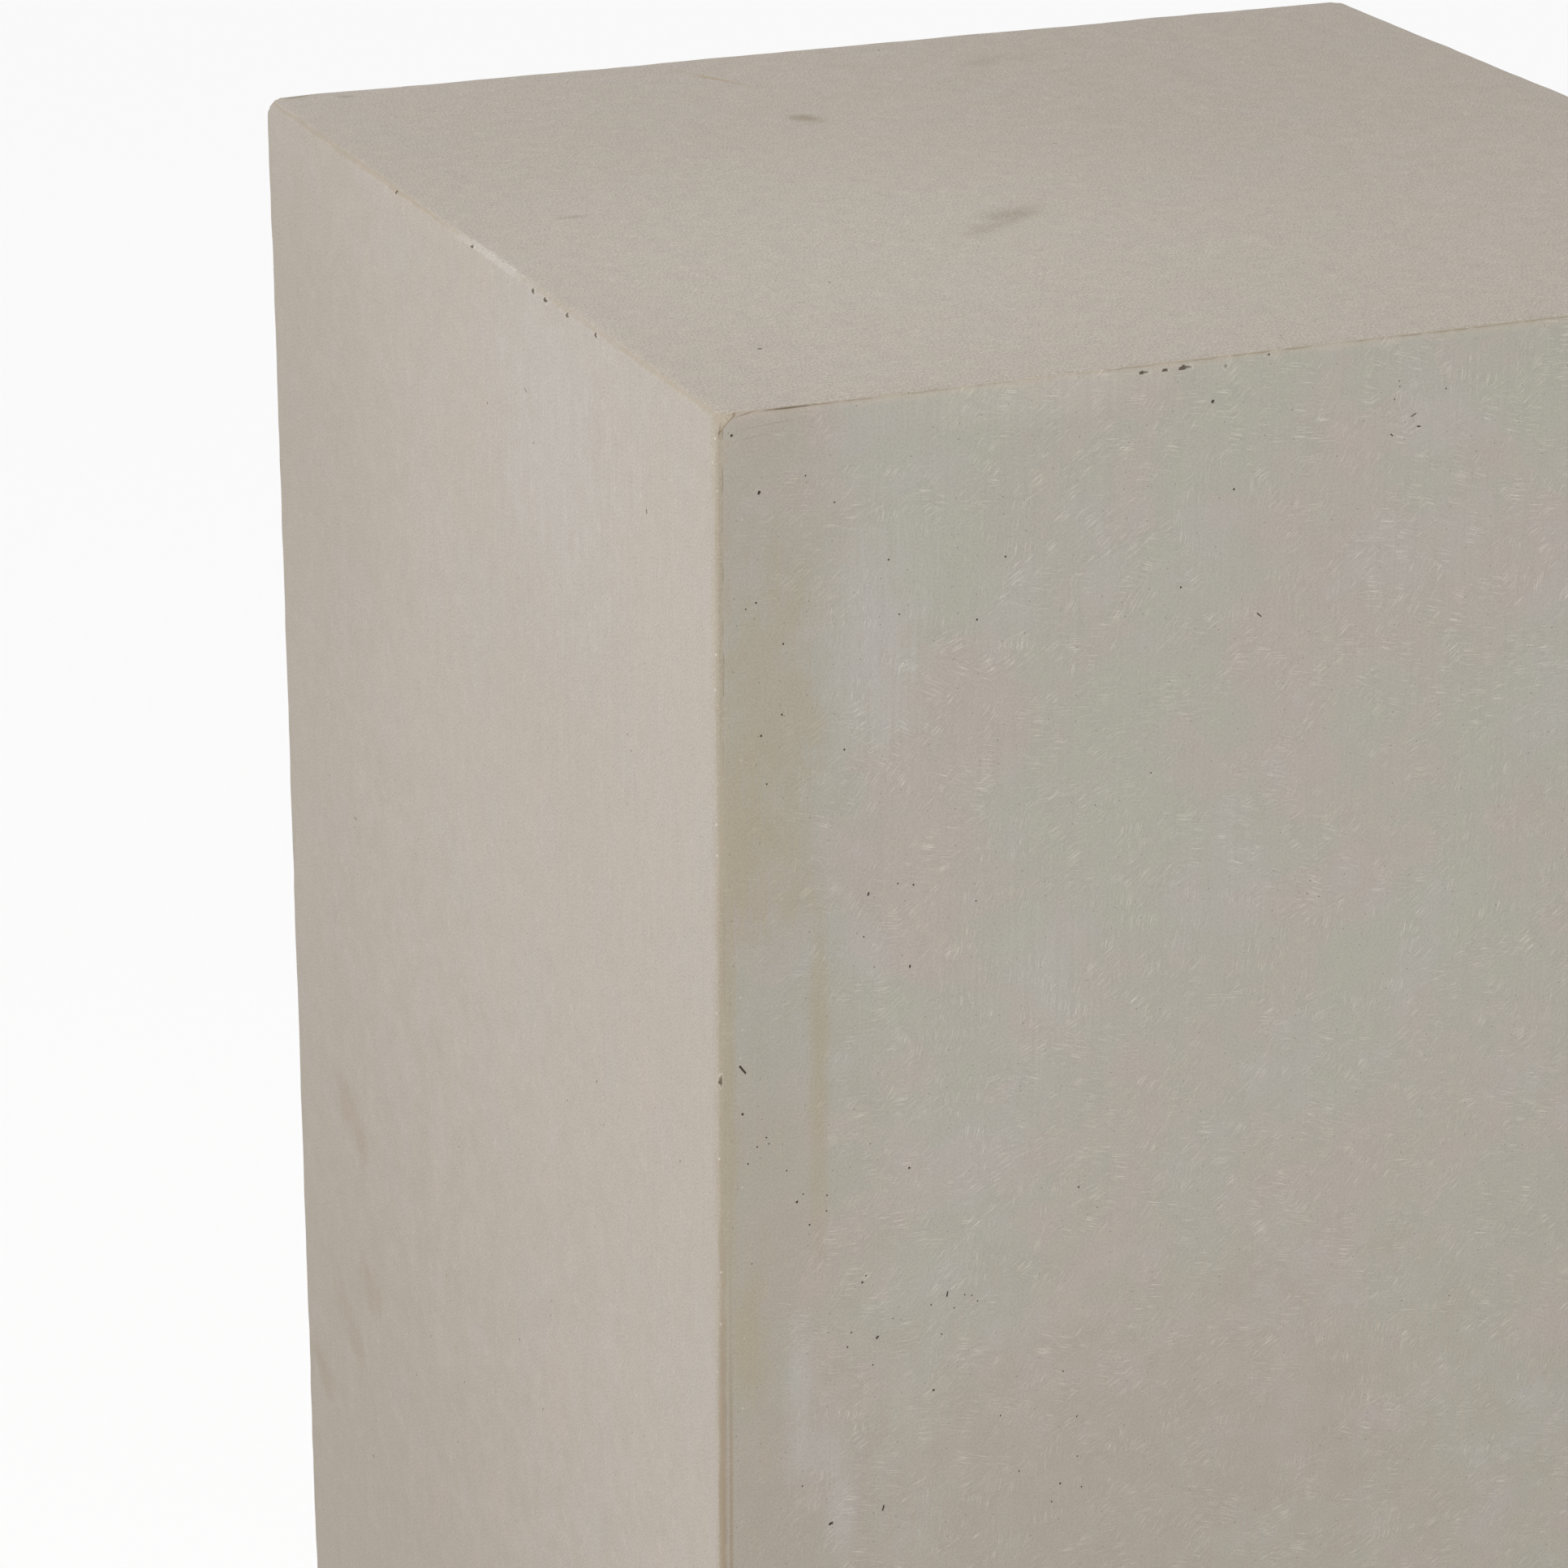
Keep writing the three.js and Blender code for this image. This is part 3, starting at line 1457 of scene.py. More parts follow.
    def _weld(self, patches: Sequence[Patch]) -> bpy.types.Mesh:
        """Joins the patches into one closed mesh in metres.

        Args:
            patches: All the patches.

        Returns:
            The mesh, with its bake map, its finishes' places and its points' marks.
        """
        points, triangles, sheet, finishes, pores, insides = [], [], [], [], [], []
        total = 0
        for patch in patches:
            count = len(patch.points)
            points.append(patch.points)
            triangles.append(patch.triangles + total)
            sheet.append(self._sheet(patch)[patch.triangles].reshape(-1, 2))
            finishes.append(np.full(len(patch.triangles), self._finish_slot(patch)))
            pores.append(np.zeros(count) if patch.pore is None else patch.pore)
            insides.append(np.full(count, float(patch.inside)))
            total += count
        mesh = bpy.data.meshes.new("cast_column")
        mesh.from_pydata((np.concatenate(points) * MM).tolist(), [], np.concatenate(triangles).tolist())
        mesh.uv_layers.new(name="OFBake").data.foreach_set("uv", np.concatenate(sheet).ravel())
        mesh.polygons.foreach_set("material_index", np.concatenate(finishes))
        for name, values in (("pore", pores), ("inside", insides)):
            kept = mesh.attributes.new(name, "FLOAT", "POINT")
            kept.data.foreach_set("value", np.concatenate(values))
        work = bmesh.new()
        work.from_mesh(mesh)
        bmesh.ops.remove_doubles(work, verts=work.verts, dist=0.004 * MM)
        loose = [vert for vert in work.verts if not vert.link_faces]
        bmesh.ops.delete(work, geom=loose, context="VERTS")
        bmesh.ops.recalc_face_normals(work, faces=work.faces)
        for poly in work.faces:
            poly.smooth = True
        open_edges = sum(1 for edge in work.edges if len(edge.link_faces) != 2)
        LOG.info("shell has %d points, %d triangles, %d open edges",
                 len(work.verts), len(work.faces), open_edges)
        work.to_mesh(mesh)
        work.free()
        return mesh

    @staticmethod
    def _finish_slot(patch: Patch) -> int:
        """Which finish a patch has. Opposite sides share one.

        Args:
            patch: The patch.

        Returns:
            The finish's place on the mesh.
        """
        if patch.inside or patch.face is Face.FOOT:
            return int(FinishSlot.RAW)
        if patch.face is Face.TOP:
            return int(FinishSlot.TOP)
        front_or_back = patch.face in (Face.FRONT, Face.BACK)
        return int(FinishSlot.FRONT if front_or_back else FinishSlot.END)

    def _sheet(self, patch: Patch) -> np.ndarray:
        """Places of a patch on the bake map: the sides in a row, the top and the inside above.

        Args:
            patch: The patch.

        Returns:
            One row of two numbers from 0 to 1 for each point.
        """
        _, across, upward = patch.face.axes()
        right = patch.points @ across + self.half
        up = patch.points @ upward + (0.0 if patch.face in SIDES else self.half)
        gutter = 8.0
        step = self.side + gutter
        whole = self.height + self.side + 3 * gutter
        inner_scale = 0.26
        if patch.face in SIDES:
            number = SIDES.index(patch.face)
            corner = (gutter + number * step, gutter)
            scale = 1.0
            if patch.inside:
                corner = (gutter + 2 * step + number * (inner_scale * step), self.height + 2 * gutter)
                scale = inner_scale
        else:
            place = 0 if patch.face is Face.TOP else 1
            corner = (gutter + place * step, self.height + 2 * gutter)
            scale = 1.0
            if patch.inside and patch.face is Face.TOP:
                corner = (gutter + 2 * step + 4 * inner_scale * step, self.height + 2 * gutter)
                scale = inner_scale
        return np.column_stack([corner[0] + scale * right, corner[1] + scale * up]) / whole

    def _weather(self, mesh: bpy.types.Mesh) -> None:
        """Wears the finished mesh: blunted corners, rubbed edges, slight waves and chips.

        Args:
            mesh: The welded mesh, which is changed.
        """
        count = len(mesh.vertices)
        flat = np.empty(count * 3)
        mesh.vertices.foreach_get("co", flat)
        points = flat.reshape(-1, 3) / MM
        inside = np.empty(count)
        mesh.attributes["inside"].data.foreach_get("value", inside)
        base = points.copy()
        points = self._fill_corners(points, inside > 0.5)
        points, blunt = self._blunt_corners(points)
        points = points + self._rubbing(base) + self._waves(base, inside)
        points, broken = self._break_chips(points)
        points[:, 2] = np.maximum(points[:, 2], 0.0)
        mesh.vertices.foreach_set("co", (points * MM).ravel())
        for name, values in (("chip", broken), ("blunt", blunt)):
            mesh.attributes.new(name, "FLOAT", "POINT").data.foreach_set("value", values)
        mesh.attributes.remove(mesh.attributes["inside"])
        mesh.update()

    def _fill_corners(self, points: np.ndarray, inside: np.ndarray) -> np.ndarray:
        """Rounds the upright inside corners of the hollow.

        Args:
            points: All points.
            inside: Which of them lie in the hollow.

        Returns:
            The moved points.
        """
        middle = self.half - self.wall - self.inside_fillet
        beyond = np.abs(points[:, :2]) - middle
        length = np.hypot(beyond[:, 0], beyond[:, 1])
        hit = inside & (beyond > 0).all(axis=1) & (length > self.inside_fillet)
        hit &= (np.abs(points[:, :2]) < self.half - self.wall + 1e-3).all(axis=1)
        moved = points.copy()
        share = self.inside_fillet / length[hit]
        moved[hit, :2] = np.sign(points[hit, :2]) * (middle + beyond[hit] * share[:, None])
        return moved

    def _blunt_corners(self, points: np.ndarray) -> Tuple[np.ndarray, np.ndarray]:
        """Wears the four top corners down to a ball.

        Args:
            points: All points.

        Returns:
            The moved points, and for each how far it stood out of the ball, from -1 to 1.
        """
        depth, reach = self.wear_depth, self.wear_reach
        radius = math.sqrt((depth - reach) ** 2 + 2 * depth**2)
        signs = np.column_stack([np.sign(points[:, :2]), np.ones(len(points))])
        centre = signs * np.array([self.half - depth, self.half - depth, 0.0])
        centre[:, 2] = self.height - depth
        away = points - centre
        length = np.linalg.norm(away, axis=1)
        hit = (away * signs > -0.5).all(axis=1) & (length > radius)
        moved = points.copy()
        moved[hit] = centre[hit] + away[hit] * (radius / length[hit])[:, None]
        out = np.linalg.norm(np.maximum(away * signs, 0.0), axis=1) - radius
        return moved, np.clip(out / self.arris, -1.0, 1.0)

    def _rubbing(self, points: np.ndarray) -> np.ndarray:
        """How far sanding has taken the edges in, here more and there less.

        Args:
            points: All points, before they were moved.

        Returns:
            One move for each point.
        """
        gaps = np.column_stack([self.half - np.abs(points[:, :2]), self.height - points[:, 2]])
        inward = -np.column_stack([np.sign(points[:, :2]), np.ones(len(points))])
        moves = np.zeros_like(points)
        near = np.sort(gaps, axis=1)[:, 1] < self.rub_limit
        amount = np.zeros(len(points))
        amount[near] = [
            self.rub_depth + self.broad_rub.height(point) + self.close_rub.height(point)
            for point in points[near]
        ]
        for first, second in ((0, 1), (0, 2), (1, 2)):
            take = amount * np.exp(-(gaps[:, first] + gaps[:, second]) / self.rub_reach)
            for axis in (first, second):
                moves[:, axis] += take * inward[:, axis]
        return moves

    def _waves(self, points: np.ndarray, inside: np.ndarray) -> np.ndarray:
        """Slight waves of a hand-finished surface, stronger in the rough hollow.

        Args:
            points: All points, before they were moved.
            inside: 1 for points in the hollow, 0 for the others.

        Returns:
            One move for each point.
        """
        broad = self.broad_wave.ways(points) * self.broad_wave.depth
        depth = self.close_wave.depth + self.rough_wave * inside
        return broad + self.close_wave.ways(points) * depth[:, None]

    def _break_chips(self, points: np.ndarray) -> Tuple[np.ndarray, np.ndarray]:
        """Scoops the chips out of the edges.

        Args:
            points: All points.

        Returns:
            The moved points, and how broken each of them is from 0 to 1.
        """
        broken = np.zeros(len(points))
        moved = points.copy()
        for number, chip in enumerate(self.chips):
            (first, across, upward), (second, _, _) = (face.axes() for face in chip.faces)
            lean = min(1.0, chip.drop / (self.chip_lean * self.arris))
            bite = self.chip_bite * self.arris
            if chip.faces[1] is Face.TOP:
                run = across
                level = self.height - bite - chip.drop
                middle = first * (self.half - bite * (1.0 - lean)) + second * level
                middle = middle + run * (chip.along - self.half)
            else:
                run = upward
                middle = (first + second) * (self.half - bite) + run * (self.height - chip.along)
            outward = first + second * (1.0 - lean)
            outward = outward / np.linalg.norm(outward)
            away = moved - middle
            length = np.linalg.norm(away - np.outer(away @ run, run) * self.chip_stretch, axis=1)
            for index in np.flatnonzero(length < chip.radius * (1.0 + self.chip_uneven)):
                lump = noise.noise(Vector(moved[index]) * 1.7 + Vector((number, 0, 0)))
                radius = chip.radius * (1.0 + self.chip_uneven * lump)
                if length[index] < radius:
                    bare = 1.0 - (length[index] / radius) ** 2
                    moved[index] -= outward * (self.chip_depth * chip.radius * bare)
                    broken[index] = min(1.0, 1.3 * bare + 0.25)
        return moved, broken


# The studio


@dataclass
class PhotoCamera:
    """A camera that sees the column's near top corner as the photograph does."""

    corner: Tuple[float, float, float]
    azimuth: float = -22.48
    pitch: float = 20.29
    focal_pixels: float = 6721.0
    frame_pixels: float = 1932.0
    corner_pixel: Place = (881.2, 510.3)
    corner_depth: float = 1.0918
    sensor: float = 36.0

    def build(self) -> bpy.types.Object:
        """Makes the camera and gives it to the scene.

        Returns:
            The camera.
        """
        data = bpy.data.cameras.new("photo_camera")
        data.sensor_width = self.sensor
        data.lens = self.sensor * self.focal_pixels / self.frame_pixels
        data.clip_end = 200.0
        camera = bpy.data.objects.new("photo_camera", data)
        camera.rotation_euler = (math.radians(90 - self.pitch), 0.0, math.radians(self.azimuth))
        turn = camera.rotation_euler.to_matrix()
        scale = self.corner_depth / self.focal_pixels
        right = (self.corner_pixel[0] - self.frame_pixels / 2) * scale
        up = (self.frame_pixels / 2 - self.corner_pixel[1]) * scale
        camera.location = Vector(self.corner) - turn @ Vector((right, up, -self.corner_depth))
        bpy.context.scene.collection.objects.link(camera)
        bpy.context.scene.camera = camera
        return camera


@dataclass
class Softbox:
    """A large soft lamp that looks at a point."""

    name: str
    place: Tuple[float, float, float]
    target: Tuple[float, float, float]
    size: float
    power: float
    colour: Tuple[float, float, float] = (1.0, 1.0, 1.0)

    def build(self) -> bpy.types.Object:
        """Makes the lamp.

        Returns:
            The lamp.
        """
        data = bpy.data.lights.new(self.name, "AREA")
        data.shape = "SQUARE"
        data.size = self.size
        data.energy = self.power
        data.color = self.colour
        lamp = bpy.data.objects.new(self.name, data)
        lamp.location = self.place
        aim = Vector(self.target) - Vector(self.place)
        lamp.rotation_euler = aim.to_track_quat("-Z", "Y").to_euler()
        bpy.context.scene.collection.objects.link(lamp)
        return lamp


@dataclass
class Studio:
    """The pale floor, the even light all round and the lamps."""

    floor_reach: float = 40.0
    sky: float = 0.97
    lamps: Tuple[Softbox, ...] = ()

    def build(self) -> None:
        """Makes the floor, the surrounding light and the lamps."""
        mesh = bpy.data.meshes.new("studio_floor")
        work = bmesh.new()
        bmesh.ops.create_grid(work, x_segments=8, y_segments=8, size=self.floor_reach)
        work.to_mesh(mesh)
        work.free()
        mesh.materials.append(FloorFinish().material())
        floor = bpy.data.objects.new("studio_floor", mesh)
        bpy.context.scene.collection.objects.link(floor)
        world = bpy.data.worlds.new("studio_light")
        world.use_nodes = True
        world.node_tree.nodes["Background"].inputs["Color"].default_value = (1.0, 1.0, 1.0, 1.0)
        world.node_tree.nodes["Background"].inputs["Strength"].default_value = self.sky
        bpy.context.scene.world = world
        for lamp in self.lamps:
            lamp.build()
        bpy.context.scene.view_settings.view_transform = "Standard"


# Marks that the photograph shows

NEAR_EDGE = (Face.LEFT, Face.FRONT)
FRONT_TOP = (Face.FRONT, Face.TOP)
LEFT_TOP = (Face.LEFT, Face.TOP)

SEEN_PORES = (
    Pore(Face.FRONT, 111.6, 9.9, 0.42),
    Pore(Face.FRONT, 9.4, 17.7, 0.36, 0.12, 60),
    Pore(Face.FRONT, 3.5, 5.0, 0.36),
    Pore(Face.FRONT, 38.1, 35.2, 0.26),
    Pore(Face.FRONT, 64.5, 37.9, 0.26),
    Pore(Face.FRONT, 105.4, 49.8, 0.29),
    Pore(Face.FRONT, 117.2, 29.6, 0.29),
    Pore(Face.FRONT, 34.0, 108.4, 0.26, 0.2, 70),
    Pore(Face.FRONT, 33.0, 117.9, 0.23),
    Pore(Face.FRONT, 43.7, 126.2, 0.26, 0.15, 80),
    Pore(Face.FRONT, 5.5, 143.8, 0.31, 1.0, -54),
    Pore(Face.FRONT, 5.5, 154.0, 0.34),
    Pore(Face.FRONT, 10.9, 160.3, 0.23),
    Pore(Face.FRONT, 8.8, 162.1, 0.23),
    Pore(Face.FRONT, 11.5, 161.8, 0.22),
    Pore(Face.FRONT, 6.7, 165.6, 0.23),
    Pore(Face.FRONT, 15.5, 168.7, 0.21),
    Pore(Face.FRONT, 43.9, 172.9, 0.31),
    Pore(Face.FRONT, 19.3, 174.7, 0.22),
    Pore(Face.FRONT, 24.8, 175.9, 0.23),
    Pore(Face.FRONT, 17.9, 176.3, 0.35),
    Pore(Face.FRONT, 24.7, 179.5, 0.23),
    Pore(Face.FRONT, 20.8, 182.1, 0.26),
    Pore(Face.FRONT, 33.9, 196.4, 0.23),
    Pore(Face.FRONT, 33.1, 197.8, 0.31),
    Pore(Face.FRONT, 57.4, 205.1, 0.22),
    Pore(Face.FRONT, 59.1, 205.6, 0.22),
    Pore(Face.FRONT, 60.5, 207.2, 0.22),
    Pore(Face.FRONT, 49.4, 206.1, 0.23),
    Pore(Face.FRONT, 30.6, 209.3, 0.23),
    Pore(Face.FRONT, 35.7, 218.0, 0.23),
    Pore(Face.FRONT, 52.0, 213.6, 0.22),
    Pore(Face.FRONT, 50.2, 226.8, 0.33),
    Pore(Face.FRONT, 81.4, 228.1, 0.23),
    Pore(Face.FRONT, 66.4, 236.1, 0.23),
    Pore(Face.FRONT, 85.0, 239.9, 0.23),
    Pore(Face.FRONT, 19.2, 244.1, 0.23),
    Pore(Face.FRONT, 71.1, 250.7, 0.23),
    Pore(Face.FRONT, 85.4, 249.9, 0.22),
    Pore(Face.FRONT, 26.0, 254.6, 0.42, 0.2, 20),
    Pore(Face.FRONT, 81.3, 255.9, 0.31),
    Pore(Face.FRONT, 86.6, 257.8, 0.23),
    Pore(Face.FRONT, 79.3, 260.0, 0.23),
    Pore(Face.FRONT, 8.8, 40.9, 0.26),
    Pore(Face.FRONT, 6.5, 42.0, 0.22),
    Pore(Face.FRONT, 40.6, 47.3, 0.22),
    Pore(Face.FRONT, 14.8, 50.5, 0.26),
    Pore(Face.FRONT, 58.2, 50.8, 0.29),
    Pore(Face.FRONT, 14.4, 65.8, 0.26),
    Pore(Face.FRONT, 9.8, 69.8, 0.29),
    Pore(Face.FRONT, 28.5, 75.3, 0.26),
    Pore(Face.FRONT, 11.1, 80.5, 0.23),
    Pore(Face.FRONT, 53.2, 204.2, 0.22, 0.5, 80),
    Pore(Face.FRONT, 54.9, 207.8, 0.23),
    Pore(Face.FRONT, 36.7, 211.6, 0.31, 0.2, 45),
    Pore(Face.FRONT, 29.7, 212.6, 0.26),
    Pore(Face.FRONT, 38.4, 253.2, 0.26, 0.5, 75),
    Pore(Face.LEFT, 161.8, 35.1, 0.36),
    Pore(Face.LEFT, 261.3, 31.6, 0.36, 0.2, 90),
    Pore(Face.LEFT, 248.5, 85.2, 0.31),
    Pore(Face.LEFT, 250.7, 88.3, 0.26),
    Pore(Face.LEFT, 248.0, 101.3, 0.26),
    Pore(Face.LEFT, 226.8, 174.7, 0.36),
    Pore(Face.LEFT, 230.6, 183.7, 0.29),
    Pore(Face.LEFT, 207.7, 187.1, 0.29),
    Pore(Face.LEFT, 130.6, 230.3, 0.34),
    Pore(Face.LEFT, 224.5, 211.4, 0.26),
    Pore(Face.LEFT, 194.7, 242.9, 0.29),
    Pore(Face.LEFT, 207.1, 245.2, 0.26),
    Pore(Face.LEFT, 193.5, 247.2, 0.29),
    Pore(Face.LEFT, 171.5, 263.3, 0.34),
    Pore(Face.LEFT, 119.1, 269.4, 0.31),
    Pore(Face.LEFT, 187.1, 274.5, 0.36),
    Pore(Face.LEFT, 106.1, 291.9, 0.31),
    Pore(Face.LEFT, 130.8, 293.3, 0.29),
    Pore(Face.LEFT, 94.0, 308.3, 0.29),
    Pore(Face.TOP, 26.4, 259.0, 0.45, 0.2, 20),
    Pore(Face.TOP, 60.6, 215.6, 0.36),
    Pore(Face.TOP, 94.6, 268.9, 0.31),
)

SEEN_CHIPS = (
    Chip(FRONT_TOP, 94.9, 0.46, 1.4),
    Chip(FRONT_TOP, 100.3, 0.42, 1.4),
    Chip(FRONT_TOP, 104.4, 0.55, 1.4),
    Chip(FRONT_TOP, 114.8, 0.34, 1.8),
    Chip(FRONT_TOP, 124.6, 0.28, 0.5),
    Chip(LEFT_TOP, 100.3, 0.4, 0.4),
    Chip(LEFT_TOP, 153.0, 0.42, 0.6),
    Chip(LEFT_TOP, 192.6, 0.42, 0.9),
    Chip(LEFT_TOP, 200.3, 0.48, 1.0),
    Chip(LEFT_TOP, 214.4, 0.46, 0.9),
    Chip(LEFT_TOP, 231.2, 0.42, 0.9),
    Chip(NEAR_EDGE, 145.9, 0.5),
)

SMUDGE = srgb(148, 138, 121)
HAZE = srgb(184, 181, 179)
EARTH = srgb(169, 159, 139)
# grey for painted shade on the far part of the left end, and for a darker patch low on it
DUSK_SMUDGE_AND_PAINTED_SHADE = srgb(166, 157, 146)
RUST = srgb(164, 144, 112)
ASH = srgb(174, 165, 154)
# brown-grey for painted shade that darkens parts of the faces, and for faint dark marks
PAINTED_SHADE_AND_MARK = srgb(149, 138, 124)
# pale colour for painted light on parts of the top and the end, and for a lighter band under the front's top
# edge
CHALK_AND_PAINTED_LIGHT = srgb(193, 186, 175)
CRACK = srgb(98, 84, 66)
LIME = srgb(200, 196, 190)
BROWN = srgb(152, 136, 115)

TINTS = (
    Tint(Face.TOP, 150.0, 150.0, 400.0, 400.0, 0.0, EARTH, 0.14, 0.3),
    # painted shade: darker towards the far back of the top
    Tint(Face.TOP, 270.0, 30.0, 190.0, 210.0, 0.0, PAINTED_SHADE_AND_MARK, 0.18, 0.5),
    # painted light: lighter towards the near corner of the top
    Tint(Face.TOP, 60.0, 200.0, 150.0, 140.0, 0.0, CHALK_AND_PAINTED_LIGHT, 0.26, 0.5),
    Tint(Face.TOP, 114.5, 70.8, 6.5, 4.0, -50.0, SMUDGE, 0.85),
    Tint(Face.TOP, 121.5, 177.0, 13.0, 8.0, 42.0, SMUDGE, 0.6, 0.8),
    Tint(Face.TOP, 110.0, 186.5, 13.0, 4.5, 40.0, SMUDGE, 0.45, 0.8),
    Tint(Face.TOP, 110.0, 23.0, 14.0, 1.4, -65.0, RUST, 0.6),
    Tint(Face.TOP, 29.0, 141.0, 6.0, 2.0, 0.0, SMUDGE, 0.5),
    Tint(Face.TOP, 181.5, 31.0, 14.0, 6.0, 0.0, SMUDGE, 0.3),
    Tint(Face.TOP, 7.2, 2.4, 5.0, 1.8, 15.0, SMUDGE, 0.9, 0.4),
    Tint(Face.TOP, 18.4, 7.1, 3.0, 1.6, 0.0, SMUDGE, 0.6, 0.4),
    Tint(Face.TOP, 0.8, 164.0, 1.2, 36.0, 0.0, LIME, 0.5, 0.6),
    Tint(Face.FRONT, 90.0, 262.0, 130.0, 70.0, 0.0, ASH, 1.0),
    # painted shade: darker towards the bottom of the front
    Tint(Face.FRONT, 150.0, 400.0, 400.0, 260.0, 0.0, PAINTED_SHADE_AND_MARK, 0.25, 0.3),
    # darker along the near upright edge and at the top left of the front
    Tint(Face.FRONT, 10.0, 200.0, 34.0, 330.0, 0.0, PAINTED_SHADE_AND_MARK, 0.16, 0.5),
    Tint(Face.FRONT, 8.0, 26.0, 24.0, 40.0, 0.0, PAINTED_SHADE_AND_MARK, 0.14, 0.5),
    # a lighter band just under the front's top edge
    Tint(Face.FRONT, 70.0, 4.0, 45.0, 7.0, 0.0, CHALK_AND_PAINTED_LIGHT, 0.3, 0.6),
    Tint(Face.FRONT, 35.0, 52.0, 15.0, 36.0, 0.0, HAZE, 0.4),
    Tint(Face.FRONT, 18.7, 218.0, 5.0, 20.0, 0.0, HAZE, 0.4, 0.6),
    Tint(Face.FRONT, 22.0, 237.0, 11.0, 10.0, 0.0, HAZE, 0.35),
    Tint(Face.FRONT, 28.3, 252.0, 5.0, 15.0, 0.0, HAZE, 0.4, 0.6),
    Tint(Face.FRONT, 7.0, 207.0, 6.5, 20.0, 0.0, EARTH, 0.85, 0.6),
    Tint(Face.FRONT, 75.0, 138.0, 17.0, 22.0, 20.0, HAZE, 0.25),
    Tint(Face.FRONT, 12.5, 68.0, 15.0, 56.0, 0.0, EARTH, 0.6),
    Tint(Face.FRONT, 4.5, 92.0, 8.0, 26.0, 0.0, EARTH, 0.9),
    Tint(Face.FRONT, 22.9, 148.0, 3.4, 60.0, 0.0, EARTH, 0.8, 0.3),
    Tint(Face.FRONT, 2.4, 150.0, 2.6, 70.0, 0.0, EARTH, 0.9, 0.4),
    Tint(Face.FRONT, 16.5, 0.6, 9.0, 0.26, 0.0, CRACK, 0.8, 0.3),
    Tint(Face.FRONT, 6.6, 0.8, 3.4, 0.2, 10.0, CRACK, 0.55, 0.2),
    Tint(Face.FRONT, 0.9, 4.4, 2.6, 0.24, 75.0, CRACK, 0.5, 0.2),
    # faint dark arcs near the top left corner of the front
    Tint(Face.FRONT, 12.0, 3.4, 9.0, 0.18, 4.0, PAINTED_SHADE_AND_MARK, 0.5, 0.2),
    Tint(Face.FRONT, 9.0, 5.6, 7.0, 0.18, 8.0, PAINTED_SHADE_AND_MARK, 0.5, 0.2),
    Tint(Face.FRONT, 0.8, 262.0, 1.1, 100.0, 0.0, BROWN, 0.85, 0.3),
    Tint(Face.FRONT, 2.6, 268.0, 0.7, 100.0, 0.0, BROWN, 0.7, 0.3),
    Tint(Face.LEFT, 164.0, 0.6, 36.0, 1.1, 0.0, LIME, 0.55, 0.6),
    Tint(Face.LEFT, 205.0, 28.0, 60.0, 60.0, 0.0, HAZE, 0.35),
    # painted light: lighter high up near the near edge of the end
    Tint(Face.LEFT, 285.0, 50.0, 80.0, 120.0, 0.0, CHALK_AND_PAINTED_LIGHT, 0.12, 0.5),
    Tint(Face.LEFT, 299.4, 262.0, 1.0, 100.0, 0.0, BROWN, 0.7, 0.3),
    # painted shade: darker towards the bottom of the end
    Tint(Face.LEFT, 40.0, 420.0, 340.0, 300.0, 0.0, PAINTED_SHADE_AND_MARK, 0.44, 0.3),
    # painted shade: darker towards the far edge of the end
    Tint(Face.LEFT, 0.0, 200.0, 140.0, 420.0, 0.0, DUSK_SMUDGE_AND_PAINTED_SHADE, 0.42, 0.4),
    # a darker patch low near the far edge
    Tint(Face.LEFT, 40.0, 372.0, 60.0, 46.0, -30.0, DUSK_SMUDGE_AND_PAINTED_SHADE, 0.4, 0.5),
    Tint(Face.LEFT, 48.2, 257.7, 19.0, 8.5, -27.0, BROWN, 0.34, 0.9),
    Tint(Face.LEFT, 59.2, 299.6, 14.0, 8.5, -27.0, BROWN, 0.34, 0.9),
    Tint(Face.LEFT, 39.7, 319.9, 20.0, 8.5, -35.0, BROWN, 0.34, 0.9),
    Tint(Face.LEFT, 15.6, 343.6, 14.0, 8.5, -30.0, BROWN, 0.34, 0.9),
    # painted shade: darker high up near the far edge
    Tint(Face.LEFT, 10.0, 70.0, 110.0, 110.0, 0.0, DUSK_SMUDGE_AND_PAINTED_SHADE, 0.45, 0.3),
)

PEACH = srgb(169, 158, 142)
PALE_EDGE = EdgeLook(cream=0.5, cream_reach=1.7, grit=0.5, grit_reach=1.0)

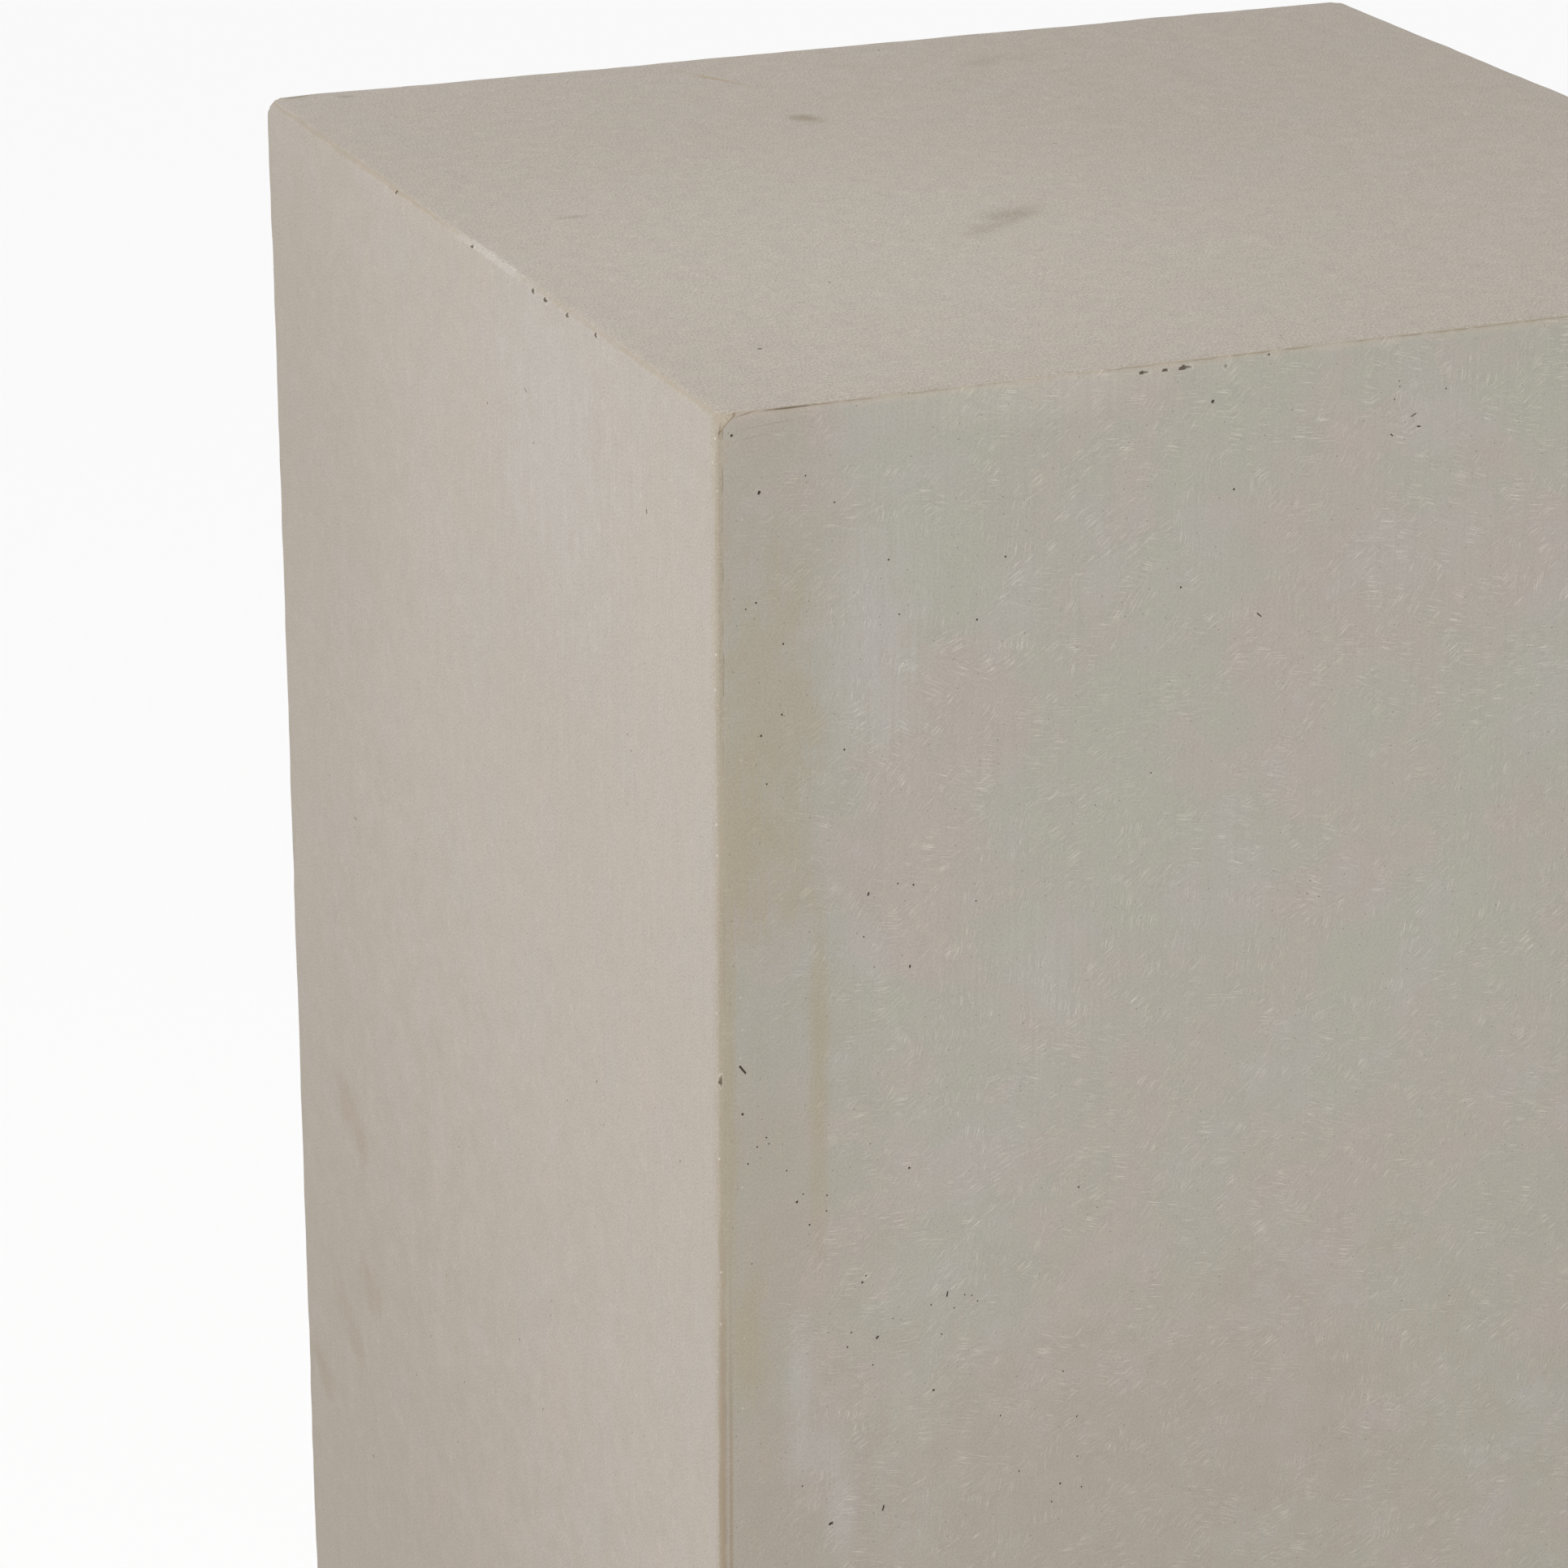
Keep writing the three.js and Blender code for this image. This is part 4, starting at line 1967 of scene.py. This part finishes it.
FRONT_LOOK = FaceLook(
    "sanded_front",
    Face.FRONT,
    cool=0.95,
    rosy=0.5,
    pale=0.35,
    mottle=0.05,
    grain=0.24,
    streak=0.06,
    streak_size=(0.9, 26.0),
    upright=EdgeLook(grit=0.85, grit_reach=1.4, line=0.7, line_gap=1.5, smear=0.6),
    rim=EdgeLook(cream=0.35, cream_reach=3.0, grit=0.3, grit_reach=1.0, line=0.55, line_gap=0.55),
    scratches=(
        ScratchLayer(80.0, 4.2, 0.18, 0.38),
        ScratchLayer(32.0, 4.6, 0.18, 0.44),
        ScratchLayer(-10.0, 5.0, 0.18, 0.44),
        ScratchLayer(52.0, 4.2, 0.18, 0.38),
    ),
    band=0.45,
    cut_corner=True,
)
END_LOOK = FaceLook(
    "sanded_end",
    Face.LEFT,
    cool=0.12,
    rosy=0.4,
    pale=0.22,
    mottle=0.1,
    grain=0.42,
    streak=0.06,
    streak_size=(0.9, 26.0),
    upright=EdgeLook(cream=0.85, cream_reach=4.5, cream_colour=PEACH, grit=0.85, grit_reach=0.9),
    rim=PALE_EDGE,
    scratches=(ScratchLayer(76.0, 4.4, 0.22, 0.22), ScratchLayer(62.0, 3.6, 0.22, 0.2)),
)
TOP_LOOK = FaceLook(
    "sanded_top",
    Face.TOP,
    cool=0.1,
    rosy=0.3,
    pale=0.1,
    mottle=0.14,
    grain=0.72,
    streak=0.12,
    streak_size=(5.0, 0.9),
    upright=PALE_EDGE,
    rim=EdgeLook(cream=0.3, cream_reach=1.2),
    scratches=(ScratchLayer(-3.0, 3.6, 0.26, 0.28), ScratchLayer(28.0, 3.0, 0.26, 0.26)),
)
LOOKS = (FRONT_LOOK, END_LOOK, TOP_LOOK)

LAMPS = (
    Softbox("key_softbox", (-1.28, -0.48, 1.58), (-0.15, -0.1, 0.9), 0.8, 6.2, (1.0, 0.99, 0.97)),
)


def main() -> None:
    """Builds the studio and the column, and reports each piece."""
    logging.basicConfig(level=logging.INFO, format="%(name)s: %(message)s")
    low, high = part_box(NODE)
    side, height = (high.x - low.x) / MM, (high.z - low.z) / MM
    PhotoCamera((low.x, low.y, high.z)).build()
    Studio(lamps=LAMPS).build()
    shell = ColumnShell(side, height, seen_pores=SEEN_PORES, seen_chips=SEEN_CHIPS)
    column = shell.build()
    cement = CementFinish(side, height, TINTS)
    for look in LOOKS:
        column.data.materials.append(cement.material(look))
    column.data.materials.append(RawFinish().material())
    bpy.context.scene.collection.objects.link(column)
    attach(column, BODY)
    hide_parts(NODE)
    LOG.info("%s rides on %s and replaces %s", column.name, BODY, NODE)


if __name__ == "__main__":
    main()
